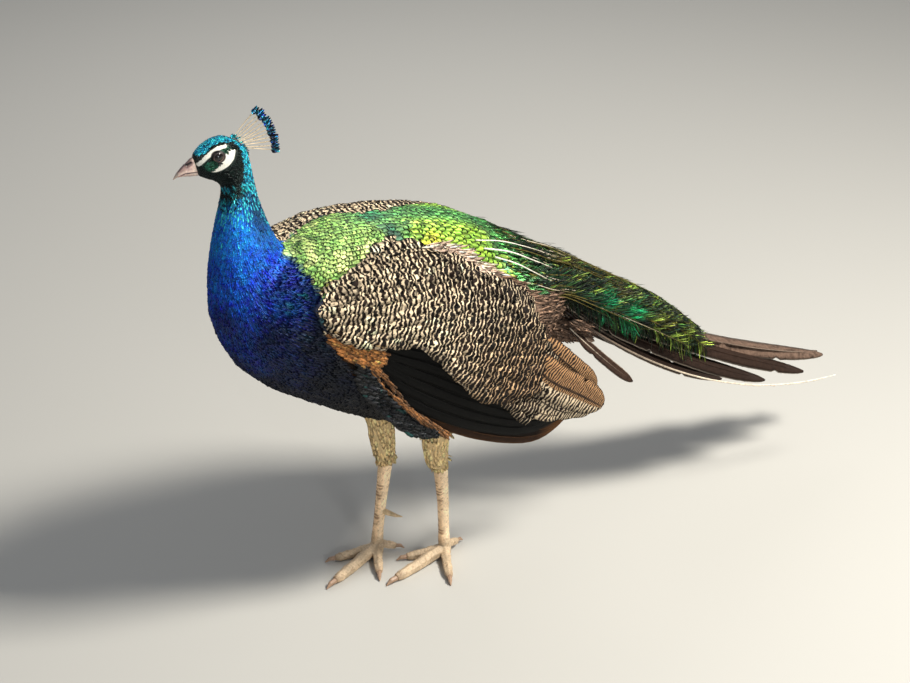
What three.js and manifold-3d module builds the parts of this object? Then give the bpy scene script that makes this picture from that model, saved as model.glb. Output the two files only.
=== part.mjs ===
// Indian peafowl, adult male with a short moulted train, standing still. Life size, in millimetres.
// The bird faces -X, its left side is -Y and +Z is up. Every touching pair keeps a small clear gap.
import * as THREE from 'three';
import Module from 'manifold-3d';

const wasm = await Module();
wasm.setup();

// ---------------------------------------------------------------- driving dimensions

const GAP = 0.3;
const SHORTEST_EDGE = 0.02;
const LEFT = -1;
const RIGHT = 1;

// Body sections from the bill base to the rump: the point on the back, the point on the belly
// (x, z in the middle plane), the half width, and how far down from the back the widest level lies.
const BODY_SECTIONS = [
  { place: 'bill base', back: [-354, 676], belly: [-350, 652], half: 9, widest: 0.5 },
  { place: 'brow', back: [-342, 688], belly: [-340, 646], half: 15, widest: 0.48 },
  { place: 'crown', back: [-316, 696], belly: [-327, 639], half: 18.5, widest: 0.46 },
  { place: 'hind crown', back: [-288, 677], belly: [-319, 628], half: 18.5, widest: 0.48 },
  { place: 'throat', back: [-280, 640], belly: [-320, 614], half: 20, widest: 0.5 },
  { place: 'upper neck', back: [-272, 602], belly: [-327, 590], half: 27, widest: 0.5 },
  { place: 'mid neck', back: [-259, 564], belly: [-336, 552], half: 38, widest: 0.5 },
  { place: 'neck root', back: [-246, 541], belly: [-343, 500], half: 54, widest: 0.5 },
  { place: 'mantle', back: [-218, 549], belly: [-341, 430], half: 77, widest: 0.47 },
  { place: 'breast', back: [-175, 557], belly: [-307, 362], half: 98, widest: 0.44 },
  { place: 'shoulder', back: [-120, 553], belly: [-229, 306], half: 111, widest: 0.4 },
  { place: 'keel', back: [-58, 542], belly: [-136, 252], half: 116, widest: 0.38 },
  { place: 'belly', back: [8, 521], belly: [-47, 230], half: 110, widest: 0.38 },
  { place: 'thigh', back: [68, 482], belly: [40, 248], half: 90, widest: 0.4 },
  { place: 'vent', back: [124, 443], belly: [104, 300], half: 63, widest: 0.44 },
  { place: 'rump end', back: [168, 410], belly: [148, 345], half: 40, widest: 0.5 },
];
const BODY_RINGS = 29;
const BODY_SIDES = 20;
const BODY_ROUNDNESS = 2.25;
const BODY_PARTS = [
  { name: 'head', ends: 4.0 },
  { name: 'neck_upper', ends: 5.9 },
  { name: 'neck_lower', ends: 7.5 },
  { name: 'breast', ends: 9.6 },
  { name: 'trunk', ends: 13.1 },
  { name: 'rump', ends: null },
];

// Eyes
const EYE_RADIUS = 7.6;
const EYE_SIDES = 12;
const EYE_ROWS = 7;
const EYE_CENTRE = { x: -327, y: 12.3, z: 677 };

// Bill
const BILL_BASE_X = -346;
const BILL_TIP_X = -380;
const CULMEN = [[-346, 680], [-355, 676], [-363, 670], [-371, 663], [-377, 657], [-380, 652.5]];
const TOMIUM = [[-346, 659], [-366, 659.5], [-374, 656.5], [-380, 651.5]];
const GONYS = [[-346, 651], [-356, 652], [-366, 654], [-375, 655]];
const BILL_HALF_WIDTH = 8.5;
const BILL_STEPS = 6;

// Crest: bare shafts in a fan in the middle plane, each with a spatulate tip
const CREST_SHAFTS = 11;
const CREST_ROOT_TOP = { x: -302, z: 688 };
const CREST_ROOT_LOW = { x: -291, z: 676 };
const CREST_LENGTH = 41;
const CREST_FAN = { from: 45, to: -17 };
const CREST_TIP = { length: 13, width: 7, thickness: 2.6 };
const CREST_SHAFT_RADIUS = 0.75;
const CREST_LEAN = 0.45;
const CREST_KNOB = {
  path: [[-307, 0, 694], [-296, 0, 685], [-287, 0, 668]],
  radii: [[0, 2.5], [0.35, 4.2], [0.75, 4.8], [1, 2.5]],
};

// Folded wings: how far the outer face stands from the middle plane beside and beyond the body
const WING_SPREAD = 117;
const WING_MIDDLE = { x: -60, z: 400 };
const WING_TAPER = { ahead: 0.0016, behind: 0.0004, above: 0.0022, below: 0.0003 };

// Wing layers from the outside in: top and bottom edges (x, z) from front to rear, and depths
const WING_LAYERS = [
  {
    name: 'coverts', depth: [0, 5.2], columns: 10, rows: 6, colour: 0xb9a888,
    top: [[-243, 488], [-214, 506], [-150, 516], [-90, 516], [-30, 505], [22, 460], [80, 372]],
    bottom: [[-238, 460], [-212, 437], [-179, 419], [-116, 409], [-62, 344], [-21, 297], [58, 284]],
  },
  {
    name: 'tertials', depth: [6.2, 9], columns: 8, rows: 4, colour: 0xa08458,
    top: [[34, 400], [66, 376], [98, 330], [145, 293], [181, 250], [193, 222]],
    bottom: [[16, 300], [50, 278], [86, 248], [125, 216], [167, 203], [190, 211]],
  },
  {
    name: 'secondaries', depth: [10, 12.4], columns: 7, rows: 3, colour: 0x17120f,
    top: [[-180, 440], [-120, 430], [-40, 400], [30, 345], [96, 290], [132, 238]],
    bottom: [[-172, 392], [-140, 340], [-92, 294], [-24, 252], [52, 218], [122, 217]],
  },
  {
    name: 'primaries', depth: [13.5, 16.2], columns: 8, rows: 2, colour: 0x9a5325,
    top: [[-178, 402], [-130, 372], [-60, 320], [10, 280], [80, 250], [132, 219]],
    bottom: [[-172, 376], [-134, 326], [-90, 284], [-20, 237], [66, 196], [128, 206]],
  },
  {
    name: 'alula', depth: [6.2, 8.8], columns: 3, rows: 2, colour: 0xb06a35,
    top: [[-226, 446], [-200, 438], [-160, 420]],
    bottom: [[-208, 402], [-190, 378], [-170, 366]],
  },
];

// Train of short plumes over the tail: ridge line, half width, thickness and fall of the sides
const TRAIN_SECTIONS = [
  { ridge: [118, 445], half: 44, thickness: 30, fall: 26 },
  { ridge: [150, 430], half: 54, thickness: 34, fall: 34 },
  { ridge: [213, 384], half: 54, thickness: 34, fall: 34 },
  { ridge: [290, 335], half: 48, thickness: 26, fall: 26 },
  { ridge: [345, 292], half: 34, thickness: 14, fall: 14 },
  { ridge: [362, 274], half: 22, thickness: 5, fall: 2 },
];
const TRAIN_RINGS = 8;
const TRAIN_SIDES = 16;
const TRAIN_SPLIT = 17;

// Tail feathers, one row per pair: root and tip (x, y, z) on the left side, sag of the curve
const RECTRIX_THICKNESS = 0.9;
const RECTRIX_STEPS = 7;
const RECTRIX_RIGHT_DROP = 1.6;
const RECTRICES = [
  { root: [150, 5, 372], tip: [632, 8, 138], sag: 24, half: 17, flare: 0.8 },
  { root: [150, 8, 368.4], tip: [580, 30, 134], sag: 13, half: 16, flare: 0.8 },
  { root: [150, 12, 364.8], tip: [495, 47, 152], sag: 16, half: 15, flare: 0.8 },
  { root: [150, 16, 361.2], tip: [412, 52, 180], sag: 21, half: 11, flare: 0.8 },
];
// Outermost feathers, unlike on the two sides: the left one is a long bare shaft
const OUTER_RECTRICES = {
  left: { root: [150, 24, 352], tip: [600, 80, 148], sag: 54, half: 3, flare: 0.5 },
  right: { root: [150, 20, 352], tip: [380, 58, 180], sag: 24, half: 9, flare: 0.6 },
};
// A short feather half grown in, below the left side of the tail
const SHORT_FEATHER = { root: [160, 34, 322], tip: [250, 62, 226], sag: 3, half: 8, flare: 0.6 };

// Downy undertail below the tail roots
const UNDERTAIL = [
  { centre: [128, 330], half: 38, thickness: 58 },
  { centre: [166, 306], half: 24, thickness: 44 },
  { centre: [200, 284], half: 16, thickness: 26 },
  { centre: [222, 270], half: 9, thickness: 8 },
];

// Legs: feathered thighs, bare shanks and feet, one record per side
const THIGH_SIDES = 10;
const SHANK_SIDES = 8;
const SHANK_BELT = 21;
const LEGS = {
  left: {
    thigh: [[-62, -48, 285], [-54, -42, 245], [-49, -35, 212], [-46, -30, 182], [-43, -28, 156]],
    shank: [[-40, -28, 170], [-37, -28, 150], [-32.5, -25.5, 95], [-30.5, -24, 40], [-30, -24.1, 14]],
    toes: { outer: 69, middle: 16, inner: -13, hallux: 200 },
  },
  right: {
    thigh: [[-112, 50, 285], [-104, 43, 245], [-98, 34, 210], [-97, 30, 176], [-95, 28, 151]],
    shank: [[-94, 28, 162], [-95, 28, 142], [-103, 25.5, 90], [-110, 24.2, 40], [-112.5, 24.1, 14]],
    toes: { outer: -8, middle: 25, inner: 67, hallux: 160 },
  },
};
const THIGH_RADII = [[34, 28], [27, 23], [22, 19], [20, 17], [16, 15]];
const SHANK_RADII = [[11, 9], [10.6, 8.6], [8.4, 6.6], [7.8, 6.8], [9.6, 9]];
const SPUR = { height: 72, length: 26, radius: 4.8, back: 0.64, inward: 0.74, down: 0.16 };
const TOE_SIDES = 6;
const TOE_AXIS_HEIGHT = 5.2;
const TOES = {
  middle: { length: 92, radius: 8, claw: 19, lift: 0 },
  outer: { length: 62, radius: 6.8, claw: 15, lift: 0 },
  inner: { length: 55, radius: 7, claw: 15, lift: 0 },
  hallux: { length: 27, radius: 5.8, claw: 12, lift: 6 },
};

// Surface colours
const COLOURS = {
  head: 0x0d86a8,
  neck_upper: 0x1470c8,
  neck_lower: 0x1350b0,
  breast: 0x14307c,
  trunk: 0x4d7a35,
  rump: 0x55763a,
  train: 0x1f3a22,
  tail: 0x6b5a4a,
  undertail: 0x8a7462,
  thigh: 0xcbb68a,
  shank: 0xd9bfa2,
  claw: 0x6d5847,
  spur: 0xe6e0d4,
  bill: 0xb79a8c,
  eye: 0x120a07,
  crest: 0x1c6f8f,
};

// ---------------------------------------------------------------- solids from sections

function solidOf(points, triangles) {
  const flat = Float32Array.from(points.flat());
  let volume = 0;
  for (const [a, b, c] of triangles) {
    const [pa, pb, pc] = [a, b, c].map((index) => new THREE.Vector3(...points[index]));
    volume += pa.dot(pb.cross(pc));
  }
  const ordered = volume < 0 ? triangles.map(([a, b, c]) => [a, c, b]) : triangles;
  const mesh = new wasm.Mesh({
    numProp: 3,
    vertProperties: flat,
    triVerts: Uint32Array.from(ordered.flat()),
  });
  return new wasm.Manifold(mesh);
}

// A closed body through rings of equal length, its two flat ends closed by fans
function loft(rings) {
  const sides = rings[0].length;
  const points = rings.flat();
  const triangles = [];
  for (let ring = 0; ring + 1 < rings.length; ring += 1) {
    for (let side = 0; side < sides; side += 1) {
      const next = (side + 1) % sides;
      const [a, b] = [ring * sides + side, ring * sides + next];
      triangles.push([a, b, b + sides], [a, b + sides, a + sides]);
    }
  }
  const lastRing = (rings.length - 1) * sides;
  for (let side = 1; side + 1 < sides; side += 1) {
    triangles.push([0, side + 1, side], [lastRing, lastRing + side, lastRing + side + 1]);
  }
  return solidOf(points, triangles);
}

// A thin shell between an outer and an inner grid of points, closed round its rim
function shell(outer, inner) {
  const rows = outer.length;
  const columns = outer[0].length;
  const points = [...outer.flat(), ...inner.flat()];
  const under = rows * columns;
  const triangles = [];
  for (let row = 0; row + 1 < rows; row += 1) {
    for (let column = 0; column + 1 < columns; column += 1) {
      const a = row * columns + column;
      const [b, c, d] = [a + 1, a + columns + 1, a + columns];
      triangles.push([a, b, c], [a, c, d]);
      triangles.push([a + under, c + under, b + under], [a + under, d + under, c + under]);
    }
  }
  const rim = [];
  for (let column = 0; column < columns; column += 1) rim.push(column);
  for (let row = 1; row < rows; row += 1) rim.push(row * columns + columns - 1);
  for (let column = columns - 2; column >= 0; column -= 1) rim.push((rows - 1) * columns + column);
  for (let row = rows - 2; row > 0; row -= 1) rim.push(row * columns);
  rim.forEach((a, index) => {
    const b = rim[(index + 1) % rim.length];
    triangles.push([b, a, a + under], [b, a + under, b + under]);
  });
  return solidOf(points, triangles);
}

function curveThrough(points) {
  const knots = points.map((point) => new THREE.Vector3(point[0], point[1], point[2] ?? 0));
  return new THREE.CatmullRomCurve3(knots, false, 'catmullrom', 0.5);
}

function samples(curve, steps) {
  return Array.from({ length: steps + 1 }, (_, index) => curve.getPoint(index / steps));
}

// A round limb along a path of points, with an (along X, along Y) radius pair at each
function limb(path, radii, sides, rings) {
  const centreLine = curveThrough(path);
  const radiusLine = curveThrough(radii.map(([fore, side]) => [fore, side]));
  const sections = [];
  for (let ring = 0; ring <= rings; ring += 1) {
    const centre = centreLine.getPoint(ring / rings);
    const radius = radiusLine.getPoint(ring / rings);
    const section = [];
    for (let side = 0; side < sides; side += 1) {
      const angle = (2 * Math.PI * side) / sides;
      const x = centre.x + radius.x * Math.cos(angle);
      const y = centre.y + radius.y * Math.sin(angle);
      section.push([x, y, centre.z]);
    }
    sections.push(section);
  }
  return loft(sections);
}

// A tube along a path in any direction, from [distance share, radius] pairs
function tube(path, radii, sides) {
  const curve = curveThrough(path);
  const sections = radii.map(([share, radius]) => {
    const centre = curve.getPoint(share);
    const ahead = curve.getTangent(share);
    const across = new THREE.Vector3(-ahead.y, ahead.x, 0.0001).normalize();
    const rise = new THREE.Vector3().crossVectors(ahead, across).normalize();
    return Array.from({ length: sides }, (_, side) => {
      const angle = (2 * Math.PI * (side + 0.5)) / sides;
      const point = centre.clone();
      point.addScaledVector(across, radius * Math.cos(angle));
      point.addScaledVector(rise, radius * Math.sin(angle));
      return point.toArray();
    });
  });
  return loft(sections);
}

// ---------------------------------------------------------------- body

const backLine = curveThrough(BODY_SECTIONS.map(({ back }) => back));
const bellyLine = curveThrough(BODY_SECTIONS.map(({ belly }) => belly));
const widthLine = curveThrough(BODY_SECTIONS.map(({ half, widest }) => [half, widest]));

function bodySection(share) {
  const back = backLine.getPoint(share);
  const belly = bellyLine.getPoint(share);
  const width = widthLine.getPoint(share);
  return { back, belly, half: width.x, widest: width.y };
}

function bodyRing(share, grow) {
  const { back, belly, half, widest } = bodySection(share);
  const down = belly.clone().sub(back);
  const depth = down.length();
  down.normalize();
  const ring = [];
  for (let side = 0; side < BODY_SIDES; side += 1) {
    const angle = (2 * Math.PI * side) / BODY_SIDES;
    const [up, out] = [Math.cos(angle), Math.sin(angle)];
    const bend = (value) => Math.sign(value) * Math.abs(value) ** (2 / BODY_ROUNDNESS);
    const reach = (up > 0 ? widest : 1 - widest) * depth + grow;
    const fall = widest * depth - reach * bend(up);
    const point = back.clone().addScaledVector(down, fall);
    ring.push([point.x, (half + grow) * bend(out), point.y]);
  }
  return ring;
}

function bodySolid(grow) {
  const shares = Array.from({ length: BODY_RINGS + 1 }, (_, ring) => ring / BODY_RINGS);
  return loft(shares.map((share) => bodyRing(share, grow)));
}

// Half width of the body at a point of the side view, or 0 outside it
function bodyHalfWidth(x, z) {
  let [low, high] = [0, 1];
  for (let step = 0; step < 30; step += 1) {
    const middle = (low + high) / 2;
    const { back, belly } = bodySection(middle);
    const towardsHead = (x - belly.x) * (belly.y - back.y) + (z - belly.y) * (back.x - belly.x);
    if (towardsHead > 0) high = middle;
    else low = middle;
  }
  const { back, belly, half, widest } = bodySection(low);
  const down = belly.clone().sub(back);
  const fall = ((x - back.x) * down.x + (z - back.y) * down.y) / down.lengthSq();
  if (fall <= 0 || fall >= 1 || low === 0 || high === 1) return 0;
  const offset = fall < widest ? 1 - fall / widest : (fall - widest) / (1 - widest);
  return half * (1 - offset ** BODY_ROUNDNESS) ** (1 / BODY_ROUNDNESS);
}

// The plane across the body at a section, facing the head
function sectionPlane(index) {
  const { back, belly } = bodySection(index / (BODY_SECTIONS.length - 1));
  const normal = new THREE.Vector3(belly.y - back.y, 0, back.x - belly.x).normalize();
  return { normal, offset: normal.x * belly.x + normal.z * belly.y };
}

function bodyPieces() {
  const pieces = {};
  let rest = bodySolid(0);
  for (const { name, ends } of BODY_PARTS) {
    if (ends === null) {
      pieces[name] = rest;
      break;
    }
    const { normal, offset } = sectionPlane(ends);
    pieces[name] = rest.trimByPlane(normal.toArray(), offset + GAP / 2);
    rest = rest.trimByPlane(normal.clone().negate().toArray(), -offset + GAP / 2);
  }
  return pieces;
}

// ---------------------------------------------------------------- head

function eyeBall(side, radius) {
  const geometry = new THREE.SphereGeometry(radius, EYE_SIDES, EYE_ROWS);
  const position = geometry.getAttribute('position');
  const rings = [];
  for (let row = 1; row < EYE_ROWS; row += 1) {
    const ring = [];
    for (let column = 0; column < EYE_SIDES; column += 1) {
      const index = row * (EYE_SIDES + 1) + column;
      ring.push([
        EYE_CENTRE.x + position.getX(index),
        side * EYE_CENTRE.y + position.getY(index),
        EYE_CENTRE.z + position.getZ(index),
      ]);
    }
    rings.push(ring);
  }
  return loft(rings);
}

function heightOn(line, x) {
  const knots = [...line].sort((a, b) => b[0] - a[0]);
  for (let index = 0; index + 1 < knots.length; index += 1) {
    const [[x0, z0], [x1, z1]] = [knots[index], knots[index + 1]];
    if (x <= x0 && x >= x1) return z0 + ((z1 - z0) * (x - x0)) / (x1 - x0);
  }
  return knots[knots.length - 1][1];
}

// One half of the bill: half ellipses between its edge line and its outer line
function billHalf(outline, towards, lastStep) {
  const sections = [];
  for (let step = 0; step <= lastStep; step += 1) {
    const share = step / BILL_STEPS;
    const x = THREE.MathUtils.lerp(BILL_BASE_X, BILL_TIP_X, share);
    const half = BILL_HALF_WIDTH * Math.sqrt(Math.max(1 - share ** 1.6, 0.02));
    const edge = heightOn(TOMIUM, x) + (towards * GAP) / 2;
    const depth = Math.max(Math.abs(heightOn(outline, x) - edge), 0.6);
    const section = [];
    for (let index = 0; index <= 6; index += 1) {
      const angle = (Math.PI * index) / 6;
      const out = Math.cos(angle);
      const rise = Math.sin(angle) ** 0.85;
      section.push([x, half * out, edge + towards * depth * rise]);
    }
    sections.push(section);
  }
  return loft(sections);
}

function crestSolid() {
  let crest = tube(CREST_KNOB.path, CREST_KNOB.radii, 6);
  for (let index = 0; index < CREST_SHAFTS; index += 1) {
    const share = index / (CREST_SHAFTS - 1);
    const angle = THREE.MathUtils.degToRad(THREE.MathUtils.lerp(CREST_FAN.from, CREST_FAN.to, share));
    const root = new THREE.Vector3(
      THREE.MathUtils.lerp(CREST_ROOT_TOP.x, CREST_ROOT_LOW.x, share),
      0,
      THREE.MathUtils.lerp(CREST_ROOT_TOP.z, CREST_ROOT_LOW.z, share),
    );
    const ahead = new THREE.Vector3(Math.cos(angle), 0, Math.sin(angle));
    const lean = CREST_LEAN * (index % 2 === 0 ? 1 : -1);
    const start = root.clone().addScaledVector(ahead, -6);
    const end = root.clone().addScaledVector(ahead, CREST_LENGTH).setY(lean);
    const tip = end.clone().addScaledVector(ahead, CREST_TIP.length);
    const shaftEnd = end.clone().addScaledVector(ahead, CREST_TIP.length / 3);
    const radii = [[0, CREST_SHAFT_RADIUS], [1, CREST_SHAFT_RADIUS]];
    crest = crest.add(tube([start.toArray(), shaftEnd.toArray()], radii, 4));
    const across = new THREE.Vector3(-ahead.z, 0, ahead.x);
    const sections = [[0, 0.3], [0.6, 1], [1, 0.5]].map(([along, spread]) => {
      const centre = end.clone().lerp(tip, along);
      return Array.from({ length: 4 }, (_, corner) => {
        const turn = (Math.PI * corner) / 2;
        const point = centre.clone();
        point.addScaledVector(across, (CREST_TIP.width / 2) * spread * Math.cos(turn));
        point.y += (CREST_TIP.thickness / 2) * spread * Math.sin(turn);
        return point.toArray();
      });
    });
    crest = crest.add(loft(sections));
  }
  return crest;
}

// ---------------------------------------------------------------- wings

function foldedWingPlane(x, z) {
  const ahead = Math.max(0, WING_MIDDLE.x - x);
  const behind = Math.max(0, x - WING_MIDDLE.x);
  const above = Math.max(0, z - WING_MIDDLE.z);
  const below = Math.max(0, WING_MIDDLE.z - z);
  const foreAft = WING_TAPER.ahead * ahead ** 2 + WING_TAPER.behind * behind ** 2;
  const upDown = WING_TAPER.above * above ** 2 + WING_TAPER.below * below ** 2;
  return WING_SPREAD - foreAft - upDown;
}

function wingFace(x, z) {
  return Math.max(bodyHalfWidth(x, z), foldedWingPlane(x, z));
}

// A slab that follows the wing's face between two edge lines of the side view
function wingSlab(side, layer, depths, grow) {
  const topEdge = curveThrough(layer.top);
  const bottomEdge = curveThrough(layer.bottom);
  const [outer, inner] = [[], []];
  for (let row = 0; row <= layer.rows; row += 1) {
    outer.push([]);
    inner.push([]);
    for (let column = 0; column <= layer.columns; column += 1) {
      const top = topEdge.getPoint(column / layer.columns);
      const bottom = bottomEdge.getPoint(column / layer.columns);
      const point = top.clone().lerp(bottom, row / layer.rows);
      if (row === 0) point.y += grow;
      if (row === layer.rows) point.y -= grow;
      if (column === 0) point.x -= grow;
      if (column === layer.columns) point.x += grow;
      const face = wingFace(point.x, point.y);
      outer[row].push([point.x, side * (face - depths[0]), point.y]);
      inner[row].push([point.x, side * (face - depths[1]), point.y]);
    }
  }
  return shell(outer, inner);
}

// ---------------------------------------------------------------- train and tail

function trainSolid() {
  const ridge = curveThrough(TRAIN_SECTIONS.map((section) => section.ridge));
  const form = curveThrough(TRAIN_SECTIONS.map(({ half, thickness, fall }) => [half, thickness, fall]));
  const sections = [];
  for (let ring = 0; ring <= TRAIN_RINGS; ring += 1) {
    const share = ring / TRAIN_RINGS;
    const top = ridge.getPoint(share);
    const { x: half, y: thickness, z: fall } = form.getPoint(share);
    const section = [];
    for (let side = 0; side < TRAIN_SIDES; side += 1) {
      const angle = (2 * Math.PI * side) / TRAIN_SIDES;
      const out = Math.cos(angle);
      const drop = fall * out ** 2 + (thickness / 2) * (1 - Math.sin(angle));
      section.push([top.x, half * out, top.y - drop]);
    }
    sections.push(section);
  }
  return loft(sections);
}

function trainPieces(keepClear) {
  const train = trainSolid().subtract(keepClear);
  const outside = TRAIN_SPLIT + GAP / 2;
  const inside = GAP / 2 - TRAIN_SPLIT;
  return {
    train_left: train.trimByPlane([0, -1, 0], outside),
    train_centre: train.trimByPlane([0, 1, 0], inside).trimByPlane([0, -1, 0], inside),
    train_right: train.trimByPlane([0, 1, 0], outside),
  };
}

// One tail feather: a thin blade from root to tip, sagging in between
function rectrix(side, { root, tip, sag, half, flare }) {
  const drop = side === RIGHT ? RECTRIX_RIGHT_DROP : 0;
  const sections = [];
  for (let step = 0; step <= RECTRIX_STEPS; step += 1) {
    const share = step / RECTRIX_STEPS;
    const x = THREE.MathUtils.lerp(root[0], tip[0], share);
    const y = side * THREE.MathUtils.lerp(root[1], tip[1], share ** flare);
    const bow = 4 * sag * share * (1 - share);
    const z = THREE.MathUtils.lerp(root[2], tip[2], share) - bow - drop;
    const opening = Math.min(1, 0.3 + 2 * share);
    const closing = share > 0.8 ? Math.sqrt(Math.max(1 - ((share - 0.8) / 0.21) ** 2, 0.05)) : 1;
    const spread = half * opening * closing;
    const rise = RECTRIX_THICKNESS / 2;
    sections.push([
      [x, y - spread, z - rise],
      [x, y + spread, z - rise],
      [x, y + spread, z + rise],
      [x, y - spread, z + rise],
    ]);
  }
  return loft(sections);
}

function undertailSolid() {
  const centreLine = curveThrough(UNDERTAIL.map(({ centre }) => centre));
  const form = curveThrough(UNDERTAIL.map(({ half, thickness }) => [half, thickness]));
  const sections = samples(centreLine, 5).map((centre, index) => {
    const { x: half, y: thickness } = form.getPoint(index / 5);
    return Array.from({ length: 12 }, (_, corner) => {
      const angle = (2 * Math.PI * corner) / 12;
      return [centre.x, half * Math.cos(angle), centre.y + (thickness / 2) * Math.sin(angle)];
    });
  });
  return loft(sections);
}

// ---------------------------------------------------------------- legs and feet

function heading(degrees) {
  const angle = THREE.MathUtils.degToRad(degrees);
  return new THREE.Vector3(-Math.cos(angle), -Math.sin(angle), 0);
}

// The axis of a toe: down from the ankle, then level along the floor
function toePath(at, { length, lift }) {
  return [
    at(0, 11 + lift),
    at(length * 0.3, 8.4 + lift),
    at(length * 0.65, TOE_AXIS_HEIGHT + 0.6 + lift * 0.8),
    at(length, TOE_AXIS_HEIGHT + lift * 0.6),
  ];
}

function clawPath(at, { length, claw, lift }) {
  return [
    at(length + 2 * GAP, TOE_AXIS_HEIGHT + lift * 0.6),
    at(length + claw * 0.55, 5.4 + lift * 0.5),
    at(length + claw, 1.2 + lift * 0.3),
  ];
}

function footPieces(leg) {
  const ankle = new THREE.Vector3(...leg.shank[leg.shank.length - 1]);
  const pad = limb(
    [[ankle.x, ankle.y, -1], [ankle.x, ankle.y, 8], [ankle.x, ankle.y, SHANK_BELT + 1]],
    [[8, 8], [11, 10.5], [8.2, 7.4]],
    TOE_SIDES,
    3,
  );
  let foot = pad;
  const claws = {};
  for (const [name, toe] of Object.entries(TOES)) {
    const { radius } = toe;
    const stations = [[0, 1.15], [0.3, 1], [0.65, 0.94], [0.9, 0.86], [1, 0.6]];
    const radii = stations.map(([share, fullness]) => [share, radius * fullness]);
    const direction = heading(leg.toes[name]);
    const at = (distance, height) => {
      const point = ankle.clone().addScaledVector(direction, distance);
      return [point.x, point.y, height];
    };
    foot = foot.add(tube(toePath(at, toe), radii, TOE_SIDES));
    const clawRadii = [[0, radius * 0.5], [0.5, radius * 0.42], [1, 0.5]];
    claws[name] = tube(clawPath(at, toe), clawRadii, 6);
  }
  const level = foot.trimByPlane([0, 0, 1], 0).trimByPlane([0, 0, -1], GAP - SHANK_BELT);
  return { foot: level, claws };
}

function spurSolid(leg, side) {
  const line = curveThrough(leg.shank);
  let share = 0;
  while (line.getPoint(share).z > SPUR.height) share += 0.01;
  const root = line.getPoint(share);
  const direction = new THREE.Vector3(SPUR.back, -side * SPUR.inward, -SPUR.down).normalize();
  const at = (distance, rise) => {
    const point = root.clone().addScaledVector(direction, distance);
    return [point.x, point.y, point.z + rise];
  };
  const reach = SPUR.length + SHANK_RADII[2][0];
  const path = [at(0, 0), at(reach * 0.55, -1), at(reach, 1.5)];
  return tube(path, [[0, SPUR.radius], [0.35, SPUR.radius * 0.8], [0.7, SPUR.radius * 0.45], [1, 0.5]], 8);
}

// ---------------------------------------------------------------- the bird

const bird = new THREE.Group();
const pieces = [];

// Cuts leave splinters shorter than the shortest edge worth keeping, so each solid is cleaned of them
function addPiece(name, cutSolid, colour, roughness = 0.6, metalness = 0) {
  const solid = cutSolid.simplify(SHORTEST_EDGE);
  pieces.push({ name, solid, colour, roughness, metalness });
}

const body = bodyPieces();
const clearBody = bodySolid(GAP);
const sides = { left: LEFT, right: RIGHT };

for (const side of Object.values(sides)) {
  body.head = body.head.subtract(eyeBall(side, EYE_RADIUS + GAP));
  for (const layer of WING_LAYERS) {
    const pocket = wingSlab(side, layer, [-30, layer.depth[1] + GAP], GAP);
    for (const name of ['breast', 'trunk', 'rump']) {
      body[name] = body[name].subtract(pocket);
    }
  }
}
for (const [name, solid] of Object.entries(body)) {
  addPiece(name, solid, COLOURS[name], 0.45, 0.2);
}

addPiece('bill_upper', billHalf(CULMEN, 1, BILL_STEPS).subtract(clearBody), COLOURS.bill, 0.4);
addPiece('bill_lower', billHalf(GONYS, -1, BILL_STEPS - 1).subtract(clearBody), COLOURS.bill, 0.4);
addPiece('crest', crestSolid().subtract(clearBody), COLOURS.crest, 0.5);

for (const [sideName, side] of Object.entries(sides)) {
  addPiece(`eye_${sideName}`, eyeBall(side, EYE_RADIUS), COLOURS.eye, 0.08);
  for (const layer of WING_LAYERS) {
    const slab = wingSlab(side, layer, layer.depth, 0);
    addPiece(`${layer.name}_${sideName}`, slab, layer.colour, 0.7);
  }
}

for (const [name, solid] of Object.entries(trainPieces(clearBody))) {
  addPiece(name, solid, COLOURS.train, 0.5, 0.2);
}
for (const [sideName, side] of Object.entries(sides)) {
  [...RECTRICES, OUTER_RECTRICES[sideName]].forEach((feather, index) => {
    const blade = rectrix(side, feather).subtract(clearBody);
    addPiece(`rectrix_${index + 1}_${sideName}`, blade, COLOURS.tail, 0.7);
  });
}
addPiece('short_feather', rectrix(LEFT, SHORT_FEATHER).subtract(clearBody), COLOURS.tail, 0.7);
addPiece('undertail', undertailSolid().subtract(clearBody), COLOURS.undertail, 0.9);

for (const [sideName, side] of Object.entries(sides)) {
  const leg = LEGS[sideName];
  const thigh = limb(leg.thigh, THIGH_RADII, THIGH_SIDES, 6);
  const shank = limb(leg.shank, SHANK_RADII, SHANK_SIDES, 8).trimByPlane([0, 0, 1], SHANK_BELT);
  const clearShank = limb(leg.shank, SHANK_RADII.map(([a, b]) => [a + GAP, b + GAP]), SHANK_SIDES, 8);
  const { foot, claws } = footPieces(leg);
  addPiece(`thigh_${sideName}`, thigh.subtract(clearBody).subtract(clearShank), COLOURS.thigh, 0.9);
  addPiece(`shank_${sideName}`, shank, COLOURS.shank, 0.6);
  addPiece(`spur_${sideName}`, spurSolid(leg, side).subtract(clearShank), COLOURS.spur, 0.4);
  addPiece(`foot_${sideName}`, foot, COLOURS.shank, 0.6);
  for (const [toe, claw] of Object.entries(claws)) {
    addPiece(`claw_${toe}_${sideName}`, claw, COLOURS.claw, 0.4);
  }
}

// The origin is the middle of the bird's footprint, on the floor
const bounds = new THREE.Box3();
for (const { solid } of pieces) {
  const { min, max } = solid.boundingBox();
  bounds.expandByPoint(new THREE.Vector3(...min));
  bounds.expandByPoint(new THREE.Vector3(...max));
}
const centre = bounds.getCenter(new THREE.Vector3());

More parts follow.
